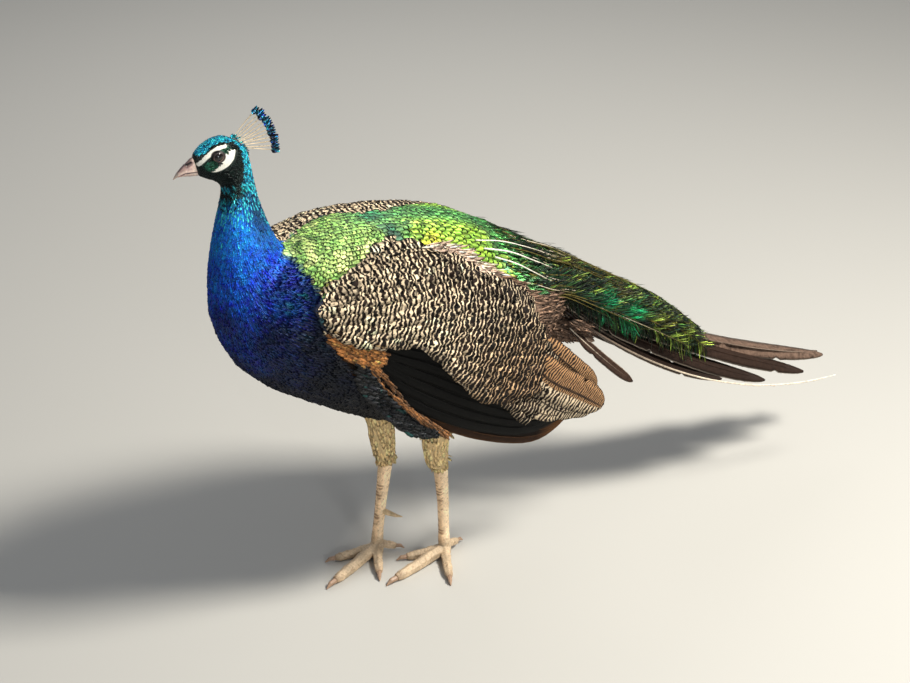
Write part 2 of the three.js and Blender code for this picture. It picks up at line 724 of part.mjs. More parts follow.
for (const { name, solid, colour, roughness, metalness } of pieces) {
  const { vertProperties, triVerts } = solid.getMesh();
  const geometry = new THREE.BufferGeometry();
  geometry.setAttribute('position', new THREE.BufferAttribute(Float32Array.from(vertProperties), 3));
  geometry.setIndex(new THREE.BufferAttribute(Uint32Array.from(triVerts), 1));
  const material = new THREE.MeshStandardMaterial({ color: colour, roughness, metalness });
  const mesh = new THREE.Mesh(geometry, material);
  mesh.name = name;
  mesh.position.set(-centre.x, -centre.y, -bounds.min.z);
  bird.add(mesh);
}

export default bird;
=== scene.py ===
"""An Indian peafowl cock with a short moulted train, standing still.

Tables are in millimetres in the bird's own measures: it faces -X, its left side is -Y, +Z is up and
the floor is at 0. to_frame() turns them into metres of the frame, where every mesh is made.
"""

import math

import bmesh
import bpy
import numpy as np
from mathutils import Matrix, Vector
from mathutils.bvhtree import BVHTree


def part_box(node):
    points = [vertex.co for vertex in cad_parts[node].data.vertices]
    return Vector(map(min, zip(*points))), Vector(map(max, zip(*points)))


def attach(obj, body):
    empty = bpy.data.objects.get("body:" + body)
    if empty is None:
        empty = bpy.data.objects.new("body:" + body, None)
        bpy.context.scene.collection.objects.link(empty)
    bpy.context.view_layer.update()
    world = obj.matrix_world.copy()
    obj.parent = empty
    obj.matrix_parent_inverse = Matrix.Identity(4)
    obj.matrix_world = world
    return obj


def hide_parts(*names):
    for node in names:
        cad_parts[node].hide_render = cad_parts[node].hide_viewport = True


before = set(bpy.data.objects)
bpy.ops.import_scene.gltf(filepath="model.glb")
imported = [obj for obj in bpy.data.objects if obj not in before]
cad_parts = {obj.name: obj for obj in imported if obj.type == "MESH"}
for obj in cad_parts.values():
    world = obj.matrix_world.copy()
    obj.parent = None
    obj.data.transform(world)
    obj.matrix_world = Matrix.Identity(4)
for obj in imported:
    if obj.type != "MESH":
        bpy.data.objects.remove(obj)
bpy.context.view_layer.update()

MM = 0.001
SIDES = {"left": -1, "right": 1}
EYE_CENTRE = np.array([-327.0, 12.3, 677.0])
EYE_RADIUS = 7.6
EYE_LOW, EYE_HIGH = (np.array(corner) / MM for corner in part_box("eye_left"))
SHIFT = (EYE_LOW + EYE_HIGH) / 2 - EYE_CENTRE * (1, -1, 1)
PATCH = 0.003  # side of one feather's patch on the bake map
chance = np.random.default_rng(11)

# Body stations from the bill's base to the rump's end: back (x, z) and belly (x, z)
BACK = [
    (-354, 676), (-342, 688), (-316, 696), (-288, 677), (-280, 640), (-272, 602), (-259, 564), (-246, 541),
    (-218, 549), (-175, 557), (-120, 553), (-58, 542), (8, 521), (68, 482), (124, 443), (168, 410),
]
BELLY = [
    (-350, 652), (-340, 646), (-327, 639), (-319, 628), (-320, 614), (-327, 590), (-336, 552), (-343, 500),
    (-341, 430), (-307, 362), (-229, 306), (-136, 252), (-47, 230), (40, 248), (104, 300), (148, 345),
]
LAST_STATION = len(BACK) - 1

# Where one kind of plumage ends and the next begins on the side view: (x, z) knots
GREEN_FRONT = [(-268, 565), (-263, 545), (-256, 532), (-250, 518), (-240, 503), (-231, 490), (-222, 440)]
NEAR_BARRED_TOP = [
    (-245, 485), (-223, 508), (-200, 519), (-178, 526), (-154, 537), (-128, 540), (-94, 525), (-66, 514),
    (-43, 501), (-21, 486), (6, 469), (50, 436), (80, 400),
]
GREEN_LOW = NEAR_BARRED_TOP[:7]  # ahead of the down strip the green reaches the wing
DOWN_TOP = [(-94, 525), (-57, 522), (-38, 513), (-24, 503), (-8, 490), (10, 476), (50, 446), (80, 412)]
# How far (y) the green of the back reaches over the spine before the far wing's barred feathers begin
FAR_BARRED_START = [
    (-260, -8), (-244, -2), (-215, 14), (-180, 18), (-145, 4), (-110, 4), (-70, 24), (-23, 40), (20, 74),
    (50, 120),
]

# Low edge of the folded wing's coverts on the side view, and the point its feathers fan out from
COVERTS_LOW = [(-238, 460), (-212, 437), (-179, 419), (-116, 409), (-62, 344), (-21, 297), (58, 284)]
SHOULDER = np.array([-262.0, 478.0])

# Surface colours, 0 to 255
PALETTE = {
    # The pale turquoise after the crown's blue is a painted glint on the iridescent feathers.
    "crown": (14, 158, 198), "crown_painted_glint": (70, 226, 240), "crown_dark": (8, 52, 92),
    "nape": (12, 66, 106), "throat": (10, 36, 36), "azure": (26, 136, 248), "cobalt": (14, 86, 204),
    "ultramarine": (12, 50, 134), "navy": (6, 16, 40), "night": (4, 7, 15), "belly": (4, 5, 7),
    "teal": (16, 96, 92), "violet": (40, 34, 100), "mantle": (150, 198, 100),
    # The pale yellow-green of the mantle is a painted highlight on its scales.
    "mantle_painted_highlight": (222, 236, 150), "mantle_dark": (24, 88, 82), "lime": (158, 206, 70),
    "golden": (244, 214, 50), "spine": (52, 132, 84), "rump": (60, 122, 60), "bronze": (98, 86, 36),
    "train": (14, 40, 22), "emerald": (20, 140, 84), "ocellus": (30, 150, 180), "olive": (176, 194, 76),
    "tan": (176, 134, 92), "cream": (226, 204, 170), "bar": (38, 24, 16), "buff": (240, 208, 184),
    # The primaries' chestnut is darkened almost to black: painted shade.
    "down": (140, 112, 92), "rufous": (214, 142, 78), "chestnut_in_painted_shade": (24, 12, 6), "black": (5, 5, 4),
    "tail": (48, 33, 25), "tail_top": (112, 90, 76), "tail_light": (206, 188, 168),
    "shaft": (230, 214, 190), "thigh": (255, 218, 156), "face_white": (236, 232, 218),
    "face_green": (40, 112, 84), "face_dark": (14, 30, 27), "lid": (176, 142, 122),
    "lid_dark": (36, 26, 23), "leg": (248, 218, 178), "leg_fleck": (112, 80, 56), "claw": (170, 138, 112),
    "spur": (214, 186, 144), "bill": (178, 146, 138), "bill_ridge": (92, 74, 74),
    "bill_pale": (224, 200, 180), "iris": (12, 8, 6), "iris_light": (30, 18, 12), "pupil": (4, 3, 3),
    "floor": (186, 184, 178),
}


# ---- measures and curves

def linear(colour):
    """A palette colour, or an array of 0 to 255 values, as linear light."""
    values = np.asarray(PALETTE[colour] if isinstance(colour, str) else colour, float) / 255
    return np.where(values <= 0.04045, values / 12.92, ((values + 0.055) / 1.055) ** 2.4)


def to_frame(points):
    return (np.asarray(points, float) + SHIFT) * MM


def to_bird(points):
    return np.asarray(points, float) / MM - SHIFT


def unit(vectors):
    vectors = np.asarray(vectors, float)
    return vectors / np.maximum(np.linalg.norm(vectors, axis=-1, keepdims=True), 1e-9)


def smooth(low, high, value):
    share = np.clip((np.asarray(value, float) - low) / (high - low), 0, 1)
    return share * share * (3 - 2 * share)


def on_line(knots, x):
    """Height of a line of (x, z) knots at x."""
    knots = np.asarray(knots, float)
    return np.interp(x, knots[:, 0], knots[:, 1])


def spline(knots, at):
    """Points of a smooth curve through the knots, with at = 0 on the first and n - 1 on the last."""
    knots = np.asarray(knots, float)
    padded = np.vstack([2 * knots[0] - knots[1], knots, 2 * knots[-1] - knots[-2]])
    at = np.clip(np.asarray(at, float), 0, len(knots) - 1.000001)
    first = at.astype(int)
    t = (at - first)[..., None]
    a, b, c, d = (padded[first + step] for step in range(4))
    return 0.5 * (2 * b + (c - a) * t + (2 * a - 5 * b + 4 * c - d) * t**2 + (3 * b - a - 3 * c + d) * t**3)


def station(points):
    """Station of each point along the body, and its drop from 0 at the back to 1 at the belly."""
    x, z = points[:, 0], points[:, 2]
    low, high = np.zeros(len(x)), np.full(len(x), float(LAST_STATION))
    for _ in range(20):
        middle = (low + high) / 2
        back, belly = spline(BACK, middle), spline(BELLY, middle)
        run, rise = (belly - back).T
        ahead = (x - belly[:, 0]) * rise - (z - belly[:, 1]) * run
        low, high = np.where(ahead > 0, low, middle), np.where(ahead > 0, middle, high)
    back, belly = spline(BACK, low), spline(BELLY, low)
    down = belly - back
    drop = ((x - back[:, 0]) * down[:, 0] + (z - back[:, 1]) * down[:, 1]) / (down**2).sum(1)
    return low, drop


def inside(outline, x, z):
    """Which points (x, z) lie inside a closed outline."""
    outline = np.asarray(outline, float)
    hits = np.zeros(np.shape(x), bool)
    for (x0, z0), (x1, z1) in zip(outline, np.roll(outline, -1, axis=0)):
        crosses = (z0 > z) != (z1 > z)
        hits ^= crosses & (x < (x1 - x0) * (z - z0) / (z1 - z0 + 1e-12) + x0)
    return hits


def from_segment(a, b, x, z):
    """Distance from the segment a b on the side view."""
    a, b = np.asarray(a, float), np.asarray(b, float)
    along = np.clip(((x - a[0]) * (b - a)[0] + (z - a[1]) * (b - a)[1]) / ((b - a) ** 2).sum(), 0, 1)
    return np.hypot(x - a[0] - along * (b - a)[0], z - a[1] - along * (b - a)[1])


def ripple(points, size, seed=0.0):
    """A soft wandering value from -1 to 1 over a distance of about size, the same on every run."""
    p = np.asarray(points, float) / size + seed * 7.31
    x, y, z = p[..., 0], p[..., 1], p[..., 2]
    a = np.sin(x * 2.1 + 1.7 * np.sin(y * 1.3 + seed) + 0.9 * np.sin(z * 2.7))
    b = np.sin(z * 1.9 + 1.3 * np.sin(x * 1.7 - seed) + 1.1 * np.sin(y * 2.2))
    return (a + b) / 2


# ---- meshes

def own_name(name):
    """A name of its own for a visual piece that stands for one frame node."""
    return name + "_shape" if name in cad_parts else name


def sided(name, side):
    return name + ("_left" if side < 0 else "_right")


def linked(made):
    bpy.context.scene.collection.objects.link(made)
    return made


def remove(made):
    bpy.data.objects.remove(made)


def shade_smooth(mesh):
    mesh.polygons.foreach_set("use_smooth", [True] * len(mesh.polygons))


def mesh_object(name, points, faces, material=None):
    """An object from points in metres and faces of point numbers."""
    name = own_name(name)
    mesh = bpy.data.meshes.new(name)
    mesh.from_pydata(np.asarray(points, float).tolist(), [], [list(map(int, face)) for face in faces])
    shade_smooth(mesh)
    if material is not None:
        mesh.materials.append(material)
    mesh.update()
    return linked(bpy.data.objects.new(name, mesh))


def points_of(mesh):
    flat = np.empty(len(mesh.vertices) * 3)
    mesh.vertices.foreach_get("co", flat)
    return flat.reshape(-1, 3)


def set_points(mesh, points):
    mesh.vertices.foreach_set("co", np.asarray(points, float).ravel())
    mesh.update()


def normals_of(mesh):
    flat = np.empty(len(mesh.vertices) * 3)
    mesh.vertex_normals.foreach_get("vector", flat)
    return flat.reshape(-1, 3)


def store(mesh, name, values, kind="FLOAT"):
    """A point attribute: FLOAT, FLOAT_VECTOR or FLOAT_COLOR."""
    values = np.asarray(values, float)
    attribute = mesh.attributes.new(name, kind, "POINT")
    if kind == "FLOAT_COLOR":
        values = np.column_stack([values, np.ones(len(values))])
    field = {"FLOAT": "value", "FLOAT_VECTOR": "vector", "FLOAT_COLOR": "color"}[kind]
    attribute.data.foreach_set(field, values.ravel())


def store_tint(mesh, tint):
    store(mesh, "tint", linear(np.clip(tint, 0, 255)), "FLOAT_COLOR")


def bird_points(made):
    """An object's points in bird measures."""
    return to_bird(points_of(made.data))


def faces_of(mesh):
    return [list(face.vertices) for face in mesh.polygons]


def joined(shapes):
    """Several shapes' points and faces as one pair of lists."""
    points, faces = [], []
    for shape_points, shape_faces in shapes:
        faces += [[int(corner) + len(points) for corner in face] for face in shape_faces]
        points += np.asarray(shape_points).tolist()
    return points, faces


def solid_of(*names, swell=0.0):
    """A frame node's closed shape, or several together, in bird measures: its points and triangles."""
    shapes = []
    for name in names:
        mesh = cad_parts[name].data
        corners = to_bird(points_of(mesh))
        points, merged = np.unique(np.round(corners, 3), axis=0, return_inverse=True)
        merged = merged.reshape(-1)
        faces = np.array([[merged[corner] for corner in face.vertices] for face in mesh.polygons])
        distinct = np.all(faces != np.roll(faces, -1, axis=1), axis=1)
        faces = faces[distinct]
        if swell:
            a, b, c = (points[faces[:, corner]] for corner in range(3))
            across = np.cross(b - a, c - a)
            outward = np.zeros_like(points)
            for corner in range(3):
                np.add.at(outward, faces[:, corner], across)
            points = points + swell * unit(outward)
        shapes.append((points, faces))
    return tuple(map(np.array, joined(shapes)))


def evaluated(made):
    """The object's mesh with its modifiers applied, as a new mesh."""
    graph = bpy.context.evaluated_depsgraph_get()
    return bpy.data.meshes.new_from_object(made.evaluated_get(graph))


def settle(made):
    """Applies the object's modifiers for good."""
    mesh = evaluated(made)
    made.modifiers.clear()
    made.data = mesh
    return mesh


def add_smoothing(made, rounds, group=""):
    soften = made.modifiers.new("soften", "SMOOTH")
    soften.factor = 0.5
    soften.iterations = rounds
    soften.vertex_group = group


def add_group(made, name, chosen):
    made.vertex_groups.new(name=name).add(np.flatnonzero(chosen).tolist(), 1.0, "REPLACE")


def remeshed(name, points, faces, voxel, relax):
    """One even skin round closed shapes: voxels of that size in mm, then smoothed."""
    made = mesh_object(name, to_frame(points), faces)
    remesh = made.modifiers.new("skin", "REMESH")
    remesh.mode = "VOXEL"
    remesh.voxel_size = voxel * MM
    remesh.use_smooth_shade = True
    add_smoothing(made, relax)
    settle(made)
    return made


def tree_of(made):
    """A search tree of the object's surface, in bird measures."""
    return BVHTree.FromPolygons(bird_points(made).tolist(), faces_of(made.data))


OUTSIDE = 300.0  # a distance (y) well outside the bird, where level rays start


def cast(tree, origin, direction):
    """Where a ray from inside first meets the surface: the point and its normal, or None."""
    point, normal, _, _ = tree.ray_cast(Vector(origin), Vector(direction))
    return (np.array(point), np.array(normal)) if point is not None else None


# ---- node trees

def add(tree, kind, values=None, **settings):
    """A node with its settings and inputs; an input that is a socket is linked."""
    made = tree.nodes.new(kind)
    for name, value in settings.items():
        setattr(made, name, value)
    for name, value in (values or {}).items():
        if isinstance(value, bpy.types.NodeSocket):
            tree.links.new(value, made.inputs[name])
        else:
            made.inputs[name].default_value = value
    return made


def maths(tree, operation, *values):
    return add(tree, "ShaderNodeMath", dict(enumerate(values)), operation=operation).outputs[0]


def attribute(tree, name, output="Fac"):
    return add(tree, "ShaderNodeAttribute", attribute_name=name).outputs[output]


def mixed(tree, share, first, second):
    """Two colours mixed by share; each is a socket or a palette name."""
    colours = [(*linear(c), 1) if isinstance(c, str) else c for c in (first, second)]
    values = {0: share, 6: colours[0], 7: colours[1]}
    return add(tree, "ShaderNodeMix", values, data_type="RGBA").outputs[2]


def noise(tree, where, scale, detail=2.0, rough=0.5):
    values = {"Vector": where, "Scale": scale, "Detail": detail, "Roughness": rough}
    return add(tree, "ShaderNodeTexNoise", values).outputs[0]


def ranged(tree, value, low, high, to_low=0.0, to_high=1.0):
    values = {0: value, 1: low, 2: high, 3: to_low, 4: to_high}
    return add(tree, "ShaderNodeMapRange", values, interpolation_type="SMOOTHSTEP").outputs[0]


def place_of(tree):
    return add(tree, "ShaderNodeTexCoord").outputs["Object"]


def wander(tree, where, scale, detail, width):
    """A noise that drifts about 0, width from its lowest to its highest."""
    return maths(tree, "MULTIPLY", maths(tree, "SUBTRACT", noise(tree, where, scale, detail), 0.5), width)


def wave(tree, turns):
    return maths(tree, "SINE", maths(tree, "MULTIPLY", turns, math.tau))


def own_tint(tree, value, **more):
    """The tint that the points carry, made lighter or darker by value."""
    values = {"Color": attribute(tree, "tint", "Color"), "Value": value, **more}
    return add(tree, "ShaderNodeHueSaturation", values).outputs[0]


def from_shaft(tree):
    """0 on a feather's shaft and 1 on its edges."""
    return maths(tree, "ABSOLUTE", attribute(tree, "across"))


def surface(name, roughness, metallic=0.0, **sockets):
    """A new material: its tree and its main shader, whose even values are set on its own sockets."""
    material = bpy.data.materials.new(name)
    material.use_nodes = True
    shader = material.node_tree.nodes["Principled BSDF"]
    for label, value in {"Roughness": roughness, "Metallic": metallic, **sockets}.items():
        shader.inputs[label.replace("_", " ")].default_value = value
    return material, material.node_tree, shader


def paint(tree, shader, colour):
    tree.links.new(colour, shader.inputs["Base Color"])


def relief(tree, shader, height, distance, strength):
    values = {"Height": height, "Distance": distance, "Strength": strength}
    tree.links.new(add(tree, "ShaderNodeBump", values).outputs[0], shader.inputs["Normal"])


def barbs(tree, count):
    """Fine ribs that run from a feather's shaft out to its edges."""
    return wave(tree, maths(tree, "MULTIPLY", maths(tree, "MULTIPLY_ADD", from_shaft(tree), -0.7,
                                                    attribute(tree, "along")), count))


def fringe_mask(tree, start, end):
    """0 in the middle of a feather and 1 along its edge and tip."""
    tip = ranged(tree, attribute(tree, "along"), 0.55, 1.0)
    return ranged(tree, maths(tree, "MAXIMUM", from_shaft(tree), tip), start, end)


def gloss_feathers(name, roughness, metallic, fringe, fringe_share, spread=(0.55, 1.0), ribs=9):
    """Iridescent feathers: the tint each carries, a fringe of another colour, ribs and small changes."""
    material, tree, shader = surface(name, roughness, metallic)
    where = place_of(tree)
    uneven = ranged(tree, noise(tree, where, 420.0), 0.2, 0.8, 0.7, 1.4)
    colour = own_tint(tree, uneven, Hue=ranged(tree, noise(tree, where, 130.0), 0.25, 0.75, 0.48, 0.52))
    edge = maths(tree, "MULTIPLY", fringe_mask(tree, *spread), fringe_share)
    colour = mixed(tree, edge, colour, fringe)
    rib = barbs(tree, ribs)
    paint(tree, shader, mixed(tree, ranged(tree, rib, -1, 1, 0.0, 0.16), colour, "black"))
    relief(tree, shader, rib, 0.00012, 0.6)
    return material


BARS_DEEPEN = (-0.34, -0.08)  # from this x to this x (metres) the dark bars grow broader


def barred_feathers(name, pitch, warm=0.2, width=2.5):
    """Cream feathers crossed by wavy dark bars, pitch metres apart along the way the feather lies."""
    material, tree, shader = surface(name, 0.75, Specular_IOR_Level=0.2)
    where = place_of(tree)
    turns = maths(tree, "ADD", maths(tree, "DIVIDE", attribute(tree, "reach"), pitch), maths(
        tree, "ADD", wander(tree, where, 62.0, 3.0, width), wander(tree, where, 210.0, 2.0, width * 0.44)))
    rearward = add(tree, "ShaderNodeSeparateXYZ", {0: where}).outputs[0]
    height = maths(tree, "ADD", wave(tree, turns), ranged(tree, rearward, *BARS_DEEPEN, 0.1, 0.75))
    blush = ranged(tree, noise(tree, where, 26.0, 1.0), 0.35, 0.7, 0.0, warm)
    ground = mixed(tree, 0.85, mixed(tree, blush, "cream", "rufous"), attribute(tree, "tint", "Color"))
    deep = mixed(tree, ranged(tree, noise(tree, where, 90.0), 0.3, 0.7), "bar", "black")
    paint(tree, shader, mixed(tree, ranged(tree, height, -0.3, 0.2), ground, deep))
    relief(tree, shader, barbs(tree, 14), 0.0001, 0.5)
    return material


def plain_feathers(name, roughness, fringe=None, fringe_share=0.5, ribs=16, flecks=0.0, tipped=True,
                   gloss=0.4):
    """Matt feathers in the tint they carry, with an edge colour if named, ribs and flecks."""
    material, tree, shader = surface(name, roughness, Specular_IOR_Level=gloss)
    where = place_of(tree)
    colour = own_tint(tree, ranged(tree, noise(tree, where, 240.0, 3.0), 0.25, 0.75, 0.7, 1.25))
    if flecks:
        spots = ranged(tree, noise(tree, where, 150.0, 3.0, 0.7), 0.5, 0.62, 0.0, flecks)
        colour = mixed(tree, spots, colour, "bar")
    if fringe:
        edge = fringe_mask(tree, 0.72, 1.0) if tipped else ranged(tree, from_shaft(tree), 0.8, 1.0)
        colour = mixed(tree, maths(tree, "MULTIPLY", edge, fringe_share), colour, fringe)
    rib = barbs(tree, ribs)
    paint(tree, shader, mixed(tree, ranged(tree, rib, -1, 1, 0.0, 0.14), colour, "black"))
    relief(tree, shader, rib, 0.0001, 0.5)
    return material


# ---- markings

FACE = [
    (-358, 676), (-345, 680), (-334, 688), (-322, 692), (-306, 690), (-298, 680), (-297, 655), (-300, 641),
    (-320, 634), (-345, 638), (-360, 652),
]
WHITE_STRIPE = [(-350, 669.5), (-341, 678), (-333, 683.2), (-325, 686.8), (-316.5, 687.8)]
WHITE_STRIPE_HALF = [2.2, 2.4, 2.5, 2.3, 1.7]
WHITE_CRESCENT = [
    (-309.2, 683.4), (-303.9, 681.5), (-304.9, 678), (-308, 670.6), (-312.4, 666), (-316.6, 662.8),
    (-324, 659.4), (-330, 657.6), (-338, 658.6), (-334, 661.8), (-327.4, 667), (-320.3, 672.2),
    (-318.6, 677.7), (-315.6, 682.6),
]
EMERALD_CHEEK = np.array([-338.0, 666.5])
OCELLUS = (23.0, 474.0)  # x and z of the one eye-spot left low on the near side of the rump


def colour(name):
    return np.array(PALETTE[name], float)


def even_tint(name, count, share=1.0):
    return np.tile(colour(name) * share, (count, 1))


def blended(tint, name, share):
    return tint + np.asarray(share, float)[:, None] * (colour(name) - tint)


def white_skin(points):
    """Share of bare white skin: the stripe over the eye and the crescent behind it."""
    x, z = points[:, 0], points[:, 2]
    stripe = np.full(len(x), 99.0)
    for index in range(len(WHITE_STRIPE) - 1):
        half = (WHITE_STRIPE_HALF[index] + WHITE_STRIPE_HALF[index + 1]) / 2
        stripe = np.minimum(stripe, from_segment(WHITE_STRIPE[index], WHITE_STRIPE[index + 1], x, z) - half)
    after = np.roll(WHITE_CRESCENT, -1, axis=0)
    edge = np.min([from_segment(a, b, x, z) for a, b in zip(WHITE_CRESCENT, after)], axis=0)
    crescent = np.where(inside(WHITE_CRESCENT, x, z), -edge, edge)
    white = smooth(0.5, -0.4, np.minimum(stripe, crescent))
    return white * (np.abs(points[:, 1]) > 3)


def head_tint(points, tint):
    x, z = points[:, 0], points[:, 2]
    face = inside(FACE, x, z).astype(float)
    # Painted glints: pale turquoise patches over the feathered head.
    tint = blended(tint, "crown_painted_glint", 0.5 * smooth(0.0, 0.8, ripple(points, 3)) * (1 - face))
    tint = blended(tint, "face_dark", face)
    cheek = smooth(8.5, 4.0, np.hypot((x - EMERALD_CHEEK[0]) / 1.2, z - EMERALD_CHEEK[1]))
    brow = smooth(7.0, 3.0, np.hypot((x + 318) / 1.3, z - 684.5)) * 0.6
    return blended(tint, "face_green", face * np.maximum(cheek, brow))


def green_share(points, s):
    """Share of the back's green: behind the blue neck, above the wing and short of the far wing."""
    x, y, z = points.T
    wander = 3.0 * ripple(points, 9)
    front = np.interp(z, *np.array(sorted((z0, x0) for x0, z0 in GREEN_FRONT)).T)
    behind_neck = smooth(-4, 5, x - front + wander)
    near = np.where(y < 0, smooth(-5, -1, z - on_line(GREEN_LOW + DOWN_TOP[1:], x) + wander), 1.0)
    far = smooth(3, -3, y - on_line(FAR_BARRED_START, x) + wander)
    return behind_neck * near * far * (s > 6.6) * (z > 330)


def green_tint(points, drift, fine):
    """The greens of the back with painted highlights on the mantle, and the eye-spot low on its near side."""
    x, y, z = points.T
    lime = smooth(-122, -96, x) * smooth(36, -4, x)
    golden = smooth(534, 518, z + 6 * drift) * smooth(-112, -98, x) * smooth(-56, -74, x)
    rusty = smooth(528, 505, z) * smooth(-190, -205, x)
    eye_spot = np.hypot(x - OCELLUS[0], z - OCELLUS[1]) + 99 * (y > 0)
    tint = even_tint("mantle", len(points))
    for name, share in (
        # Painted highlights: pale yellow-green patches on the mantle, fading out above z 530 to 562.
        ("mantle_painted_highlight", 0.8 * smooth(-0.4, 0.5, fine) * smooth(562, 530, z)),
        ("mantle_dark", 0.7 * smooth(0.3, 0.8, drift) * smooth(-200, -150, x)),
        ("lime", lime * smooth(552, 536, z + 6 * fine)),
        ("golden", lime * golden),
        ("spine", 0.65 * smooth(34, 10, np.abs(y)) * smooth(-190, -130, x)),
        ("bronze", 0.75 * smooth(-0.1, 0.5, fine) * rusty),
        ("rump", smooth(0, 40, x)),
        ("train", smooth(40, 120, x) * 0.7),
        ("bronze", 0.7 * smooth(0.1, 0.7, fine) * smooth(20, 90, x)),
        ("olive", smooth(13, 9, eye_spot)),
        ("ocellus", smooth(6, 3, eye_spot)),
    ):
        tint = blended(tint, name, share)
    return tint


def body_tint(points):
    """Plumage colour at points of the body, 0 to 255, with painted glints on the head, painted highlights on the
    mantle and painted shade deepening the breast: skin and feathers share it.
    """
    s, drop = station(points)
    drift, fine = ripple(points, 26), ripple(points, 9, 2)
    front = smooth(0.2, 0.65, drop)
    wandering = s + 0.4 * drift
    tint = even_tint("crown", len(points))
    for name, share in (
        ("nape", smooth(3.4, 4.6, s)),
        ("throat", front * smooth(2.8, 3.4, s) * smooth(4.4, 3.9, s + 0.2 * fine)),
        ("azure", front * smooth(4.1, 4.8, s) + (1 - front) * 0.5 * smooth(5.0, 6.0, s)),
        ("cobalt", smooth(5.8, 7.0, wandering)),
        ("ultramarine", smooth(6.7, 8.1, wandering)),
        ("violet", 0.3 * smooth(0.2, 0.8, drift) * smooth(6.5, 8, s)),
        # The breast's navy and near-black are partly the plumage's own darker blue and partly painted shade.
        ("navy", smooth(7.7, 9.3, wandering)),
        ("teal", 0.7 * smooth(0.35, 0.85, fine) * smooth(7.2, 8.2, s) * smooth(0.7, 0.4, drop)),
        ("night", smooth(9.2, 10.6, s + 0.5 * drift) * (1 - 0.6 * smooth(0.5, 0.9, fine))),
        ("belly", smooth(0.62, 0.92, drop) * smooth(9.6, 11.0, s)),
    ):
        tint = blended(tint, name, share)
    head = s < 4.4
    tint[head] = head_tint(points[head], tint[head])
    return tint + green_share(points, s)[:, None] * (green_tint(points, drift, fine) - tint)


def in_far_barred(points):
    """The far wing's barred shoulder feathers, which reach up to the spine."""
    x, y, z = points.T
    over = (y > on_line(FAR_BARRED_START, x)) & (z > on_line(NEAR_BARRED_TOP, x) - 30)
    return over & (x > -262) & (x < 60)


def in_near_barred(points, spread=0.0):
    """Between the top of the barred feathers and the low edge of the coverts, on either side."""
    x, _, z = points.T
    top, low = np.array(NEAR_BARRED_TOP) + (0, spread), np.array(COVERTS_LOW[::-1]) - (0, spread)
    return inside(np.vstack([top, low]), x, z)


def in_down(points):
    """The strip of bare pinkish down between the green back and the wing."""
    x, y, z = points.T
    return (z < on_line(DOWN_TOP, x)) & (z >= on_line(NEAR_BARRED_TOP, x)) & (x > -94) & (x < 90) & (y < 0)


# ---- skin

FLESH = (
    "head", "neck_upper", "neck_lower", "breast", "trunk", "rump", "undertail", "thigh_left", "thigh_right",
    "coverts_left", "coverts_right",
)
SKIN_VOXEL = 2.5
BRIDGE = 0.45  # swelling that closes the thin gaps between the frame's parts before they become one skin
FINE_FACE = {"x": -296.0, "z": 632.0}  # ahead of and above this the skin has finer faces
LID = {"inner": 5.2, "crest": 6.1, "outer": 9.6, "stands": 0.6}
EYE_SLIT = (1.08, 0.94)  # an eye's opening is this much longer and lower than a circle
BAR_PITCH = 6.6  # from one dark bar of the barred feathers to the next
KEPT_FACES = 0.66  # share of the skin's triangles left after the feathered parts are thinned


def coat_depth(points):
    """How far the skin lies inside the outer shape, in mm."""
    s, drop = station(points)
    depth = np.interp(s, [0, 3.6, 4.6, 7, 9, 12, 15], [0.5, 0.8, 1.8, 3.0, 4.2, 4.4, 3.4])
    wing = in_near_barred(points) & (np.abs(points[:, 1]) > 78)
    depth = np.where(wing, 1.2, depth)
    return np.where(drop > 1.02, 2.0, depth)


def finer_face(mesh):
    """Splits the faces of the fore head twice, so that the lids and the markings are smooth."""
    work = bmesh.new()
    work.from_mesh(mesh)
    for _ in range(2):
        near = set()
        for vertex in work.verts:
            x, _, z = to_bird(vertex.co)
            if x < FINE_FACE["x"] and z > FINE_FACE["z"]:
                near.add(vertex)
        edges = [edge for edge in work.edges if edge.verts[0] in near and edge.verts[1] in near]
        bmesh.ops.subdivide_edges(work, edges=edges, cuts=1, use_grid_fill=True, smooth=0.6)
    bmesh.ops.triangulate(work, faces=[face for face in work.faces if len(face.verts) > 4])
    work.to_mesh(mesh)
    work.free()


def round_eye(points, side):
    """Distance from an eye's axis, measured along its opening, and how far out from its middle."""
    offset = points - EYE_CENTRE * (1, side, 1)
    return np.hypot(offset[:, 0] / EYE_SLIT[0], offset[:, 2] / EYE_SLIT[1]), offset[:, 1] * side, offset[:, 2]


def form_lids(points):
    """Rolls the skin up against each eyeball in a thin raised lid and tucks it inside the opening."""
    for side in SIDES.values():
        radius, out, _ = round_eye(points, side)
        near = (radius < LID["outer"]) & (out > -2)
        ball = np.sqrt(np.maximum(EYE_RADIUS**2 - np.minimum(radius, EYE_RADIUS) ** 2, 0))
        rim = ball + LID["stands"] * np.exp(-((radius - LID["crest"]) / 0.9) ** 2)
        tucked = ball - 2.2 * smooth(LID["inner"], LID["inner"] - 0.8, radius)
        lid = np.where(radius < LID["inner"], tucked, rim)
        share = smooth(LID["outer"], LID["crest"] + 0.6, radius)
        target = out + share * (np.maximum(lid, np.where(radius < LID["crest"], -9, out)) - out)
        points[near, 1] = side * (EYE_CENTRE[1] + target[near])
    return points


def relaxed(mesh, chosen, rounds):
    """Evens out the chosen points between their neighbours."""
    made = linked(bpy.data.objects.new("relax", mesh))
    add_group(made, "chosen", chosen)
    add_smoothing(made, rounds, "chosen")
    result = evaluated(made)
    remove(made)
    return result


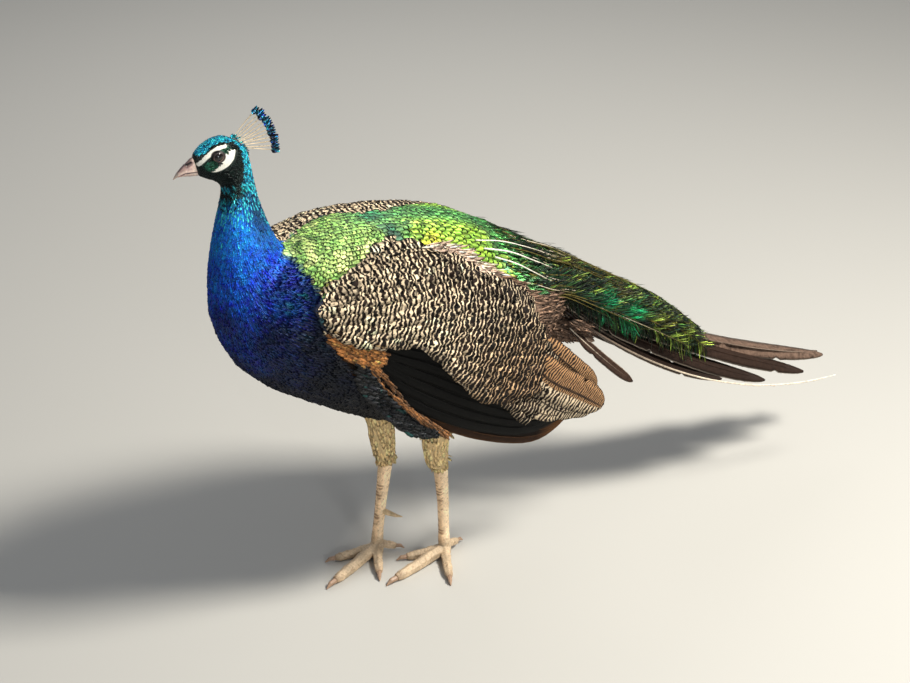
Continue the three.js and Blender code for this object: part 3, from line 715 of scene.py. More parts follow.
def make_skin():
    shapes = [solid_of(name, swell=BRIDGE) for name in FLESH]
    shapes += [solid_of("eye_" + name, swell=-0.3) for name in SIDES]
    skin = remeshed("skin", *joined(shapes), SKIN_VOXEL, relax=8)
    finer_face(skin.data)
    at = bird_points(skin)
    skin.data = relaxed(skin.data, (at[:, 0] < FINE_FACE["x"] + 4) & (at[:, 2] > FINE_FACE["z"] - 6), 6)
    at = bird_points(skin)
    at = at - normals_of(skin.data) * coat_depth(at)[:, None]
    set_points(skin.data, to_frame(form_lids(at)))
    shade_smooth(skin.data)
    return skin


def thin_feathered(skin):
    """Joins triangles where feathers cover the skin and leaves the bare face as fine as it is."""
    at = bird_points(skin)
    add_group(skin, "feathered", (at[:, 0] > FINE_FACE["x"] + 8) | (at[:, 2] < FINE_FACE["z"] - 10))
    thin = skin.modifiers.new("thin", "DECIMATE")
    thin.ratio = KEPT_FACES
    thin.vertex_group = "feathered"
    shade_smooth(settle(skin))
    skin.vertex_groups.clear()


def skin_tint(points):
    """The plumage's colours under the coat, bars under the barred feathers and the bare parts' own."""
    tint = body_tint(points)
    x, y, z = points.T
    s, drop = station(points)
    barred = in_near_barred(points, 2) & (np.abs(y) > 50) & (x > -228) | in_far_barred(points) & (x > -248)
    reach = np.hypot(x - SHOULDER[0], z - SHOULDER[1])
    bars = smooth(-0.3, 0.3, np.sin(reach * math.tau / BAR_PITCH + 2 * ripple(points, 16)) + 0.35)
    tint[barred] = blended(even_tint("cream", len(points)), "bar", bars)[barred]
    tint[in_down(points)] = colour("buff")
    tint[(drop > 1.03) & (s > 9)] = colour("thigh") * 0.8
    downy = (coat_kind(points) == "down") & (np.abs(y) < 90) & ~barred
    tint[((x > 118) & (z < 350)) | downy] = colour("down")
    tint = blended(tint, "face_white", white_skin(points))
    for side in SIDES.values():
        radius, out, height = round_eye(points, side)
        tint = blended(tint, "lid_dark", smooth(8.8, 7.8, radius) * (out > 0))
        rim = smooth(6.5, 6.1, radius) * smooth(5.0, 5.4, radius) * smooth(3.0, -2.0, height)
        tint = blended(tint, "lid", 0.55 * rim * (out > 0))
    return tint


def skin_material():
    material, tree, shader = surface("skin", 0.55)
    where = place_of(tree)
    paint(tree, shader, own_tint(tree, ranged(tree, noise(tree, where, 900.0, 3.0), 0.3, 0.7, 0.86, 1.1)))
    relief(tree, shader, noise(tree, where, 1400.0), 0.00025, 0.5)
    return material


# ---- feathers laid by node tree

def feather_shape(name, outline, camber=0.10, thickness=0.035):
    """A closed leaf of length 1 along +X and width 1: sharp edges, raised middle, along and across stored."""
    widest = max(half for _, half in outline)
    points, along_at, across_at = [(0, 0, 0)], [0.0], [0.0]
    for along, half in outline:
        points += [(along, -half, -camber * half * 2), (along, 0, thickness / 2),
                   (along, half, -camber * half * 2), (along, 0, -thickness / 2)]
        along_at += [along] * 4
        across_at += [-half / widest, 0.0, half / widest, 0.0]
    points.append((1, 0, -camber * 0.15))
    along_at.append(1.0)
    across_at.append(0.0)
    last = len(points) - 1
    faces = []
    for first in range(1, last - 4, 4):
        for k in range(4):
            a, b = first + k, first + (k + 1) % 4
            faces.append((a, b, b + 4, a + 4)[::-1])
    for tip, ring, turn in ((0, 1, -1), (last, last - 4, 1)):
        for k in range(4):
            faces.append((tip, ring + k, ring + (k + 1) % 4)[::turn])
    made = mesh_object(name, points, faces)
    store(made.data, "along", along_at)
    store(made.data, "across", across_at)
    made.hide_render = True
    return made


def leaf(widths, tip=0.97):
    """Stations of a feather's outline at even steps from just above its root to just below its tip."""
    count = len(widths)
    return [(0.06 + (tip - 0.06) * index / (count - 1), half / 2) for index, half in enumerate(widths)]


def laying_tree():
    """One feather on each root, turned along the lie, bent over the body, joined and given its plumage."""
    tree = bpy.data.node_groups.new("lay feathers", "GeometryNodeTree")
    tree.is_modifier = True
    for label, kind in (("Roots", "Geometry"), ("Feather", "Object"), ("Ruffle", "Float"), ("Seed", "Int"),
                        ("Plumage", "Material")):
        tree.interface.new_socket(label, in_out="INPUT", socket_type="NodeSocket" + kind)
    tree.interface.new_socket("Coat", in_out="OUTPUT", socket_type="NodeSocketGeometry")
    given = add(tree, "NodeGroupInput").outputs

    def named(label, kind="FLOAT_VECTOR"):
        return add(tree, "GeometryNodeInputNamedAttribute", {"Name": label}, data_type=kind).outputs[0]

    def step(kind, values, **settings):
        return add(tree, kind, values, **settings).outputs[0]

    turn = step("FunctionNodeAxesToRotation", {"Primary Axis": named("up"), "Secondary Axis": named("lie")},
                primary_axis="Z", secondary_axis="X")
    low = step("ShaderNodeVectorMath", {0: given["Ruffle"], 1: (-1, -1, -1)}, operation="MULTIPLY")
    loose = step("FunctionNodeRandomValue", {"Min": low, "Max": given["Ruffle"], "Seed": given["Seed"]},
                 data_type="FLOAT_VECTOR")
    loose = step("FunctionNodeEulerToRotation", {0: loose})
    turn = step("FunctionNodeRotateRotation", {0: turn, 1: loose}, rotation_space="LOCAL")
    shape = add(tree, "GeometryNodeObjectInfo", {"Object": given["Feather"]}, transform_space="ORIGINAL")
    laid = step("GeometryNodeInstanceOnPoints", {
        "Points": given["Roots"], "Instance": shape.outputs["Geometry"], "Rotation": turn,
        "Scale": named("size")})
    real = step("GeometryNodeRealizeInstances", {"Geometry": laid})
    along = named("along", "FLOAT")
    sag = maths(tree, "MULTIPLY", maths(tree, "MULTIPLY", along, along), named("sag", "FLOAT"))
    sag = step("ShaderNodeVectorMath", {0: named("up"), 3: sag}, operation="SCALE")
    bent = step("GeometryNodeSetPosition", {"Geometry": real, "Offset": sag})
    clothed = step("GeometryNodeSetMaterial", {"Geometry": bent, "Material": given["Plumage"]})
    add(tree, "NodeGroupOutput", {"Coat": clothed})
    return tree


def hand_over(made, nodes):
    """Tells the frame what a finished piece moves with, and hides the frame nodes that it stands for."""
    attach(made, "root")
    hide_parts(*nodes)


def set_input(modifier, label, value):
    sockets = modifier.node_group.interface.items_tree
    modifier[next(socket.identifier for socket in sockets if socket.name == label)] = value


def values_of(mesh, name, width=1):
    flat = np.empty(len(mesh.vertices) * width)
    field = "value" if width == 1 else "vector"
    mesh.attributes[name].data.foreach_get(field, flat)
    return flat if width == 1 else flat.reshape(-1, width)


def bake_map(mesh, root, along, across):
    """Each feather is a small patch at its root's place on the unwrapped skin."""
    layer = mesh.uv_layers.new(name="OFBake")
    at = np.column_stack([root[:, 0] + PATCH * (along - 0.5), root[:, 1] + PATCH * across / 2])
    corners = np.empty(len(mesh.loops), dtype=np.int64)
    mesh.loops.foreach_get("vertex_index", corners)
    layer.uv.foreach_set("vector", at[corners].astype(np.float32).ravel())


class Roots:
    """Where feathers grow: points and directions in bird measures, sizes in mm, tints 0 to 255."""

    FIELDS = ("point", "up", "lie", "length", "width", "sag", "tint", "place", "reach")

    def __init__(self, **fields):
        self.fields = {name: np.asarray(fields[name], float) for name in self.FIELDS}

    def __len__(self):
        return len(self.fields["length"])

    def __getattr__(self, name):
        return self.__dict__["fields"][name]

    def where(self, chosen):
        return Roots(**{name: values[chosen] for name, values in self.fields.items()})

    def plus(self, *others):
        fields = [group.fields for group in (self, *others)]
        return Roots(**{name: np.concatenate([each[name] for each in fields]) for name in self.FIELDS})

    def spread(self):
        """Brings the places between 0.01 and 0.99, the room for patches on the bake map."""
        low, high = self.place.min(0), self.place.max(0)
        self.fields["place"] = 0.01 + 0.98 * (self.place - low) / (high - low)
        return self

    def varied(self, amount):
        """Makes each feather a little lighter or darker than its neighbours."""
        self.fields["tint"] = self.tint * (1 + amount * chance.normal(size=(len(self), 1)))
        return self


def gathered(rows, **more):
    """Roots from one dict of values for each feather."""
    return Roots(**{name: [row[name] for row in rows] for name in rows[0]}, **more)


def along_surface(direction, normal):
    return unit(direction - normal * np.dot(direction, normal))


def lay_coat(name, roots, shape, material, nodes, lift=6.0, ruffle=0.05, seed=1, height=1.0):
    """The feathers on all roots as one plain mesh, tips lifted by lift degrees off the skin."""
    tilt = math.radians(lift)
    lie = unit(roots.lie * math.cos(tilt) + roots.up * math.sin(tilt))
    up = unit(roots.up * math.cos(tilt) - roots.lie * math.sin(tilt))
    size = np.column_stack([roots.length, roots.width, roots.length * height]) * MM
    carrier = bpy.data.meshes.new(name)
    carrier.from_pydata(to_frame(roots.point).tolist(), [], [])
    for label, values in (("lie", lie), ("up", up), ("size", size),
                          ("root", np.column_stack([roots.place, np.zeros(len(roots))]))):
        store(carrier, label, values, "FLOAT_VECTOR")
    store(carrier, "sag", -roots.sag * MM)
    store(carrier, "reach", roots.reach * MM)
    store_tint(carrier, roots.tint)
    coat = linked(bpy.data.objects.new(name, carrier))
    modifier = coat.modifiers.new("feathers", "NODES")
    modifier.node_group = LAYING
    for label, value in (("Feather", shape), ("Ruffle", ruffle), ("Seed", seed), ("Plumage", material)):
        set_input(modifier, label, value)
    mesh = settle(coat)
    along, across = values_of(mesh, "along"), values_of(mesh, "across")
    bake_map(mesh, values_of(mesh, "root", 3), along, across)
    reach = values_of(mesh, "reach") + along * values_of(mesh, "size", 3)[:, 0]
    mesh.attributes["reach"].data.foreach_set("value", reach)
    for spent in ("lie", "up", "size", "sag", "root"):
        mesh.attributes.remove(mesh.attributes[spent])
    shade_smooth(mesh)
    hand_over(coat, nodes)
    return coat


# ---- roots over the body

RING_RAYS = 60
RING_STEP = 0.06  # stations between two rings that are compared for how far apart they lie
ACROSS = np.array([0.0, 1.0, 0.0])


def body_axes(s):
    """The middle of a body section, and its upward direction in the middle plane."""
    back, belly = spline(BACK, s), spline(BELLY, s)
    middle = 0.52 * back + 0.48 * belly
    up = unit(back - belly)
    return np.array([middle[0], 0.0, middle[1]]), np.array([up[0], 0.0, up[1]])


def on_body(s, angle):
    """The skin at a station, at an angle round from the back (left side negative)."""
    middle, up = body_axes(s)
    return cast(SKIN_TREE, middle, math.cos(angle) * up + math.sin(angle) * ACROSS)


def ring_at(s, angles):
    """Points of the skin round the body at a station, nan where a ray misses it."""
    hits = [on_body(s, angle) for angle in angles]
    return np.array([hit[0] if hit else (np.nan,) * 3 for hit in hits])


def heading_at(s, point):
    """The way feathers lie: from the back's line at the top to the belly's line below."""
    back, belly = spline(BACK, s), spline(BELLY, s)
    down = belly - back
    drop = np.clip(np.dot(point[[0, 2]] - back, down) / np.dot(down, down), 0, 1)
    ahead, behind = np.array(s + 0.3), np.array(s - 0.3)
    runs = [unit(spline(line, ahead) - spline(line, behind)) for line in (BACK, BELLY)]
    x, z = unit(runs[0] * (1 - drop) + runs[1] * drop)
    return np.array([x, 0.0, z])


def sag_at(tree, point, up, lie, length, high=25.0):
    """How far the surface falls away below a feather's tip, in mm."""
    tip = point + lie * length + up * high
    found = tree.ray_cast(Vector(tip), Vector(-up), high * 2)[3]
    if found is None:
        return 0.05 * length
    return float(np.clip(found - high, -0.35 * length, 0.3 * length))


def body_roots(first, last, pitch, aspect, length, breadth=1.5):
    """Roots in rows round the body, staggered like scales, pitch mm apart at each (station, mm) knot."""
    rows = []
    s, row = first, 0
    angles = np.linspace(-math.pi, math.pi, RING_RAYS + 1)
    while s < last:
        gap = float(on_line(pitch, s))
        at = ring_at(s, angles)
        moved = ring_at(s + RING_STEP, angles) - at
        stretch = np.linalg.norm(moved, axis=1) / RING_STEP
        step = gap / np.percentile(stretch[~np.isnan(stretch)], 75)
        arcs = np.nan_to_num(np.linalg.norm(np.diff(at, axis=0), axis=1), nan=1.0)
        run = np.concatenate([[0], np.cumsum(np.minimum(arcs, 40))])
        count = max(3, int(run[-1] / (gap * aspect)))
        spots = (np.arange(count) + 0.5 * (row % 2) + chance.normal(0, 0.06, count)) / count * run[-1]
        turns = np.interp(spots % run[-1], run, angles)
        crowding = np.interp(turns, angles, np.nan_to_num(stretch, nan=0.0)) * step / gap
        for angle, share in zip(turns, crowding):
            if chance.random() > share * 1.5:
                continue
            hit = on_body(s, angle)
            if hit is None:
                continue
            point, normal = hit
            reach = float(on_line(length, s)) * (1 + 0.08 * chance.normal())
            lie = along_surface(heading_at(s, point), normal)
            rows.append({
                "point": point, "up": normal, "lie": lie, "length": reach, "width": gap * aspect * breadth,
                "sag": sag_at(SKIN_TREE, point, normal, lie, reach), "place": (s, angle)})
        s += step
        row += 1
    roots = gathered(rows, tint=np.zeros((len(rows), 3)), reach=np.zeros(len(rows)))
    roots = roots.where(on_flesh(roots.point, *station(roots.point)))
    roots.fields["tint"] = body_tint(roots.point)
    roots.fields["reach"] = np.hypot(*(roots.point[:, [0, 2]] - SHOULDER).T)
    return roots.spread()


STANDS_OFF = 5.0  # round the shoulder, a feather whose tip is farther than this from the skin is left out
SHOULDER_RIM = 40.0
WING_FAN = (-1.9, 1.1)  # radians, the lowest and highest way that a covert points from the shoulder


def wing_roots(side, outline, first, last, pitch, aspect, length):
    """Roots in arcs round the shoulder on the outer face of a folded wing, tips kept in the outline."""
    rows = []
    radius, row = first, 0
    while radius < last:
        gap, reach = float(on_line(pitch, radius)), float(on_line(length, radius))
        step = gap * aspect / radius
        angles = np.arange(*WING_FAN, step) + 0.5 * (row % 2) * step
        for angle in angles + chance.normal(0, 0.08, len(angles)) * step:
            heading = np.array([math.cos(angle), math.sin(angle)])
            x, z = SHOULDER + radius * heading
            shares = np.linspace(1.0, 0.3, 8)
            tips = SHOULDER + (radius + reach * shares)[:, None] * heading
            fits = inside(outline, tips[:, 0], tips[:, 1])
            if not fits.any() or not inside(outline, x + 3, z) and radius > 14:
                continue
            share = shares[np.argmax(fits)]
            if share < 0.35:
                continue
            point, normal, _, _ = SKIN_TREE.ray_cast(Vector((x, side * OUTSIDE, z)), Vector((0, -side, 0)))
            if point is None or not in_near_barred(np.array([[x, 0.0, z]]), 4.0)[0]:
                continue
            point, normal = np.array(point), np.array(normal)
            lie = along_surface(np.array([heading[0], 0, heading[1]]), normal)
            sag = sag_at(SKIN_TREE, point, normal, lie, reach * share)
            tip = point + lie * reach * share - normal * sag
            if radius < SHOULDER_RIM and SKIN_TREE.find_nearest(Vector(tip))[3] > STANDS_OFF:
                continue
            swelling = 0.25 * sag - sag_at(SKIN_TREE, point, normal, lie, reach * share / 2)
            rows.append({
                "point": point + normal * np.clip(swelling, 0, 4), "up": normal, "lie": lie,
                "length": reach * share, "width": gap * aspect * 1.35, "sag": sag, "place": (x, z),
                "reach": radius + chance.uniform(-0.9, 0.9)})
        radius += gap
        row += 1
    points = np.array([row["point"] for row in rows])
    deeper = smooth(450, 320, points[:, 2]) * smooth(-120, 10, points[:, 0])
    return gathered(rows, tint=blended(even_tint("cream", len(rows)), "tan", 0.75 * deeper)).spread()


# ---- the coat

WING_HIDES = [
    (-205, 430), (-186, 474), (-120, 496), (-40, 486), (20, 430), (70, 352), (100, 250), (60, 230),
    (-20, 262), (-86, 312), (-150, 388),
]


def bare_or_hidden(points, s):
    x, y, z = points.T
    hidden = inside(WING_HIDES, x, z) & (np.abs(y) > 40)
    return hidden | (white_skin(points) > 0.4) | near_eye(points)


def near_eye(points):
    offset = np.abs(points - EYE_CENTRE * (1, 0, 1)) - (0, EYE_CENTRE[1], 0)
    return np.hypot(offset[:, 0], offset[:, 2]) < 8.0


def on_flesh(points, s, drop):
    """Leaves out thighs and what lies under the wings."""
    return (drop < 1.02) & ~bare_or_hidden(points, s)


def coat_kind(points):
    """barred, down, green or blue, for points of the body."""
    s, _ = station(points)
    kind = np.full(len(points), "blue", dtype=object)
    kind[(points[:, 0] > 24) & (points[:, 2] > 280)] = "down"
    kind[green_share(points, s) > 0.5] = "green"
    kind[in_down(points)] = "down"
    kind[in_near_barred(points) & (np.abs(points[:, 1]) > 30) & (s > 8)] = "barred"
    kind[in_far_barred(points)] = "barred"
    return kind


UNDERTAIL = [(96, 352), (118, 352), (160, 344), (205, 312), (214, 296), (180, 290), (130, 292), (100, 310)]
SCALE = [(0.06, 0.3), (0.3, 0.48), (0.58, 0.5), (0.78, 0.42), (0.92, 0.25)]  # (along, half width) of a scale


def coat_head(dart, plumage):
    pitch, length = [(0, 1.7), (2, 2.0), (4.5, 2.6)], [(0, 2.6), (1, 3.6), (4.5, 6.5)]
    head = body_roots(0.15, 4.5, pitch, 0.95, length).varied(0.25)
    feathered = ~inside(FACE, head.point[:, 0], head.point[:, 2]) & (head.tint[:, 2] > 90)
    # Painted glints: three in ten feathered crown feathers take the pale turquoise.
    sparkles = (chance.random(len(head)) < 0.3) & feathered
    head.fields["tint"][sparkles] = colour("crown_painted_glint")
    shaded = (chance.random(len(head)) < 0.12) & feathered & ~sparkles
    head.fields["tint"][shaded] = colour("crown_dark")
    lay_coat("coat_head", head, dart, plumage, ["head"], lift=9, ruffle=0.1, seed=3)


def coat_neck(plume, plumage):
    neck = body_roots(4.4, 8.2, [(4.4, 2.5), (8.2, 3.8)], 0.8, [(4.4, 7.5), (8.2, 14)])
    neck = neck.where(coat_kind(neck.point) == "blue")
    # Painted glints: pale turquoise feathers on the upper neck, fewer further down.
    fading = 0.3 * smooth(5.9, 4.3, station(neck.point)[0])
    sparkles = (chance.random(len(neck)) < fading) & (neck.tint[:, 2] > 60)
    neck.fields["tint"][sparkles] = colour("crown_painted_glint")
    lay_coat("coat_neck", neck.varied(0.14), plume, plumage, ["neck_upper", "neck_lower"],
             lift=4, ruffle=0.06, seed=4)


def coat_breast(plume, plumage):
    breast = body_roots(8.0, 14.6, [(8, 4.0), (11, 5.5), (15, 8)], 0.85, [(8, 14), (11, 20), (15, 28)])
    breast = breast.where(coat_kind(breast.point) == "blue")
    lay_coat("coat_breast", breast.varied(0.12), plume, plumage, ["breast"],
             lift=4, ruffle=0.06, seed=5)


def coat_back(scale, plumage):
    back = body_roots(6.6, 13.3, [(6.6, 4.6), (9.6, 6.0), (10.6, 8.2), (14, 9.4)], 1.1,
                      [(6.6, 11), (9.6, 13.5), (10.6, 18), (13, 21)], breadth=1.25)
    green = back.where((coat_kind(back.point) == "green") & (back.point[:, 0] < 34))
    lay_coat("coat_back", green.varied(0.16), scale, plumage, ["trunk"],
             lift=4, ruffle=0.03, seed=6, height=0.35)


def coat_rear(dart, sparkle, plume, down):
    """Loose green darts on the rump, and pale down on its sides and under the tail."""
    rear = body_roots(10.4, 15.0, [(10, 4.4), (15, 5.4)], 0.8, [(10, 20), (15, 30)])
    kind = coat_kind(rear.point)
    rump = rear.where((kind == "green") & (rear.point[:, 0] > 26))
    lay_coat("coat_rump", rump.varied(0.35), dart, sparkle, ["rump"],
             lift=5, ruffle=0.12, seed=12)
    bare = rear.where((kind == "down") & ((np.abs(rear.point[:, 1]) < 82) | (rear.point[:, 2] > 425)))
    for side in SIDES.values():
        fluff = patch_roots(side, UNDERTAIL, SKIN_TREE, 4.0, (0.85, -0.5), 17, 4, colour("down"), stand=0)
        bare = bare.plus(fluff.where(np.abs(fluff.point[:, 1]) < 70))
    bare.fields["tint"] = np.where(bare.point[:, :1] > 20, colour("down"), colour("buff"))
    bare.fields["width"] *= 0.55
    bare.fields["length"] *= 0.8
    lay_coat("coat_down", bare.varied(0.2), plume, down, ["undertail"],
             lift=9, ruffle=0.26, seed=13)


def coat_shoulders(scale, barred):
    """The barred feathers: the far wing's over the spine, then both wings' coverts."""
    mantle = body_roots(6.6, 13.0, [(6.6, 7.0), (13, 11)], 0.95, [(6.6, 15), (13, 26)])
    far = mantle.where(coat_kind(mantle.point) == "barred")
    far.fields["tint"] = even_tint("cream", len(far))
    lay_coat("coat_mantle", far.varied(0.12), scale, barred, ["trunk"],
             lift=5, ruffle=0.07, seed=7, height=0.5)
    low = [(x - 2, z - 6) for x, z in COVERTS_LOW[-2::-1]]
    outline = NEAR_BARRED_TOP[:-1] + [(84, 374), (78, 274)] + low
    pitch, length = [(6, 5.0), (60, 9), (330, 14)], [(6, 15), (60, 24), (330, 42)]
    for name, side in SIDES.items():
        wing = wing_roots(side, outline, 6, 400, pitch, 1.05, length)
        lay_coat("coat_wing_" + name, wing.varied(0.1), scale, barred, ["coverts_" + name],
                 lift=2.5, ruffle=0.03, seed=8 + side, height=0.5)


def make_body_coat():
    scale = feather_shape("scale", SCALE, camber=0.05)
    plume = feather_shape("plume", leaf([0.4, 0.85, 1.0, 0.55], 0.9), camber=0.12)
    dart = feather_shape("dart", leaf([0.5, 1.0, 0.5], 0.85), camber=0.14)
    shine = gloss_feathers("blue plumage", 0.38, 0.5, "night", 0.25, spread=(0.5, 1.0))
    scales = gloss_feathers("green scales", 0.38, 0.35, "train", 0.95, spread=(0.7, 0.86))
    sparkle = gloss_feathers("head plumage", 0.3, 0.45, "night", 0.5, spread=(0.4, 0.95))
    barred = barred_feathers("barred plumage", BAR_PITCH * MM)
    down = plain_feathers("down", 0.9, ribs=9)
    coat_head(dart, sparkle)
    coat_neck(plume, shine)
    coat_breast(plume, shine)
    coat_back(scale, scales)
    coat_rear(dart, sparkle, plume, down)
    coat_shoulders(scale, barred)
    for shape in (scale, plume, dart):
        remove(shape)


# ---- large feathers and shafts

COLUMNS = np.array([-1, -0.55, 0, 0.55, 1])


def tube_faces(rows, size, turn):
    """Faces of a closed tube of rings; turn is 1 or -1, the way that its rings go round."""
    faces = [tuple(range(size))[::turn], tuple(range((rows - 1) * size, rows * size))[::-turn]]
    for row in range(rows - 1):
        for k in range(size):
            a, b = row * size + k, row * size + (k + 1) % size
            faces.append((a, *(a + size, b + size, b)[::turn]))
    return faces


class Plumage:
    """Closed shapes gathered into one mesh, with the values that its plumage reads."""

    def __init__(self):
        self.points, self.faces, self.values, self.count = [], [], [], 0

    def add(self, points, faces, along, across, tint, place, reach=0.0):
        values = np.empty((len(points), 8))
        values[:, 0], values[:, 1], values[:, 2] = along, across, reach
        values[:, 3:6], values[:, 6:8] = tint, place
        self.faces += [tuple(corner + self.count for corner in face) for face in faces]
        self.points.append(np.asarray(points, float))
        self.values.append(values)
        self.count += len(points)

    def piece(self, name, material, slot, *nodes):
        made = mesh_object(name, to_frame(np.vstack(self.points)), self.faces, material)
        values = np.vstack(self.values)
        store(made.data, "along", values[:, 0])
        store(made.data, "across", values[:, 1])
        store(made.data, "reach", values[:, 2] * MM)
        store_tint(made.data, values[:, 3:6])
        bake_map(made.data, values[:, 6:8], values[:, 0], values[:, 1])
        hand_over(made, nodes)
        return made


def axes_of(spine, up):
    """Heading, sideways and upward directions along a curve."""
    heading = unit(np.gradient(spine, axis=0))
    side = unit(np.cross(np.broadcast_to(up, spine.shape), heading))
    return heading, side, np.cross(heading, side)


def outline_of(at, opening, closing):
    """Half width of a vane from 0 at the quill to 1, closing in a rounded tip."""
    root = smooth(0.0, opening, at) * 0.82 + 0.18
    end = np.sqrt(np.maximum(1 - (np.maximum(at - closing, 0) / (1.004 - closing)) ** 2, 0))
    return root * end


def vane(plumage, path, up, half, tint, place=(0.5, 0.5), reach=0.0, steps=30, camber=0.14, thickness=0.5,
         torn=0.05, splits=2, opening=0.25, closing=0.72, lean=0.0, curl=0.0, start=0.0, end=1.0):
    """One large feather along a path: thin, raised along its shaft, its edges a little torn."""
    at = np.linspace(start, end, steps)
    spine = spline(path, at * (len(path) - 1))
    _, side, lift = axes_of(spine, up)
    share = (at - start) / (end - start)
    spread = half * outline_of(share, opening, closing)
    edges = 1 - torn * chance.random((steps, 2))
    for row in chance.integers(5, steps - 3, splits):
        edges[row, chance.integers(2)] *= 0.72
    edges *= (1 - lean, 1 + lean)
    widths = np.where(COLUMNS < 0, edges[:, :1], edges[:, 1:]) * COLUMNS * spread[:, None]
    drop = -camber * np.abs(widths) - curl * half * share[:, None] ** 2 * COLUMNS**2
    thick = thickness / 2 * (1 - COLUMNS**2) * (1 - 0.6 * share[:, None])
    mid = spine[:, None] + side[:, None] * widths[..., None] + lift[:, None] * drop[..., None]
    top = mid + lift[:, None] * thick[..., None]
    low = (mid - lift[:, None] * thick[..., None])[:, 1:-1]
    ring = np.concatenate([top, low[:, ::-1]], axis=1)
    size = ring.shape[1]
    columns = np.concatenate([COLUMNS, COLUMNS[1:-1][::-1]])
    run = np.linalg.norm(np.diff(spine, axis=0), axis=1).sum() * share
    plumage.add(ring.reshape(-1, 3), tube_faces(steps, size, 1), np.repeat(share, size),
                np.tile(columns, steps), tint, place, np.repeat(reach + run, size))


def rod(plumage, path, radii, tint, place=(0.5, 0.5), steps=14, sides=5):
    """A round tapering shaft along a path; radii and tint may change from root to tip."""
    at = np.linspace(0, 1, steps)
    spine = spline(path, at * (len(path) - 1))
    _, side, lift = axes_of(spine, np.array([0, 0, 1.0]))
    radius = np.interp(at, np.linspace(0, 1, len(radii)), radii)[:, None, None]
    turn = (np.arange(sides) / sides * math.tau)[:, None]
    ring = spine[:, None] + radius * (side[:, None] * np.cos(turn) + lift[:, None] * np.sin(turn))
    knots = np.linspace(0, 1, len(tint))
    shades = np.array([[np.interp(t, knots, channel) for channel in np.array(tint).T] for t in at])
    plumage.add(ring.reshape(-1, 3), tube_faces(steps, sides, -1), np.repeat(at, sides), 0.0,
                np.repeat(shades, sides, axis=0), place)


# ---- roots over patches of the side view

def outside_hit(tree, side, x, z):
    """The surface met by a level ray from outside at (x, z), or the nearest surface to it."""
    point, normal, _, _ = tree.ray_cast(Vector((x, side * OUTSIDE, z)), Vector((0, -side, 0)))
    if point is None:
        point, _, _, _ = tree.find_nearest(Vector((x, side * 110, z)))
        point, normal = Vector((x, point.y, z)), Vector((0, side, 0))
    return np.array(point), np.array(normal)


def patch_roots(side, outline, tree, pitch, heading, length, width, tint, stand=0.6):
    """Roots in staggered rows over an outline of the side view, lying along heading (x, z)."""
    outline = np.array(outline, float)
    ahead = unit(np.array(heading, float))
    across = np.array([-ahead[1], ahead[0]])
    middle, reach = outline.mean(0), np.ptp(outline, axis=0).max()
    rows = []
    for row, run in enumerate(np.arange(-reach, reach, pitch)):
        for shift in np.arange(-reach, reach, width * 0.62) + 0.31 * width * (row % 2):
            x, z = middle + run * ahead + shift * across + chance.normal(0, 0.12, 2) * pitch
            if not inside(outline, x, z):
                continue
            point, normal = outside_hit(tree, side, x, z)
            lie = np.array([ahead[0], 0, ahead[1]]) + chance.normal(0, 0.05, 3)
            rows.append({
                "point": point + normal * stand, "up": normal, "lie": along_surface(lie, normal),
                "length": length * chance.uniform(0.85, 1.15), "width": width, "sag": 0.0, "tint": tint,
                "place": (x, z), "reach": run})
    return gathered(rows).spread()


def tree_of_nodes(*names):
    points, faces = solid_of(*names)
    return BVHTree.FromPolygons(points.tolist(), faces.tolist())


def path_over(tree, side, line, stands):
    """A path over the tree's outer side along points (x, z), standing off it."""
    return np.array([outside_hit(tree, side, x, z)[0] for x, z in line]) + (0, side * stands, 0)


# ---- folded wings

WING_LAYERS = {
    "secondaries": {
        "top": [(-180, 440), (-120, 430), (-40, 400), (30, 345), (96, 290), (132, 238)],
        "low": [(-172, 392), (-140, 340), (-92, 294), (-24, 252), (52, 218), (122, 217)],
    },
    "primaries": {
        "top": [(-178, 402), (-130, 372), (-60, 320), (10, 280), (80, 250), (132, 219)],
        "low": [(-172, 376), (-134, 326), (-90, 284), (-20, 237), (66, 196), (128, 206)],
    },
    "alula": {
        "top": [(-226, 446), (-200, 438), (-160, 420)],
        "low": [(-208, 402), (-190, 378), (-170, 366)],
    },
}
# Tertials from under to over: path, half width, how far it stands off
TERTIALS = [
    ([(-30, 338), (30, 282), (90, 235), (128, 222)], 11, 0.0),
    ([(-20, 352), (50, 290), (110, 235), (152, 213)], 14, 0.7),
    ([(0, 365), (70, 292), (130, 236), (172, 207)], 18, 1.4),
    ([(45, 392), (105, 325), (150, 276), (176, 246)], 17, 1.0),
    ([(20, 385), (85, 300), (140, 254), (190, 211)], 27, 5.0),
]
TERTIAL_COVERTS = [(0, 392), (36, 402), (62, 372), (74, 342), (68, 302), (54, 270), (30, 262), (0, 300)]
RUFOUS_STRIP = [
    (-170, 392), (-150, 362), (-128, 328), (-100, 294), (-66, 260), (-70, 254), (-106, 288), (-136, 322),
    (-156, 352), (-178, 386),
]
WRIST = [
    (-236, 452), (-196, 446), (-172, 428), (-160, 404), (-166, 390), (-184, 388), (-206, 406), (-230, 432),
]
FLANK = [
    (-196, 402), (-184, 390), (-162, 350), (-138, 314), (-112, 286), (-84, 266), (-92, 258), (-126, 274),
    (-162, 310), (-196, 366),
]


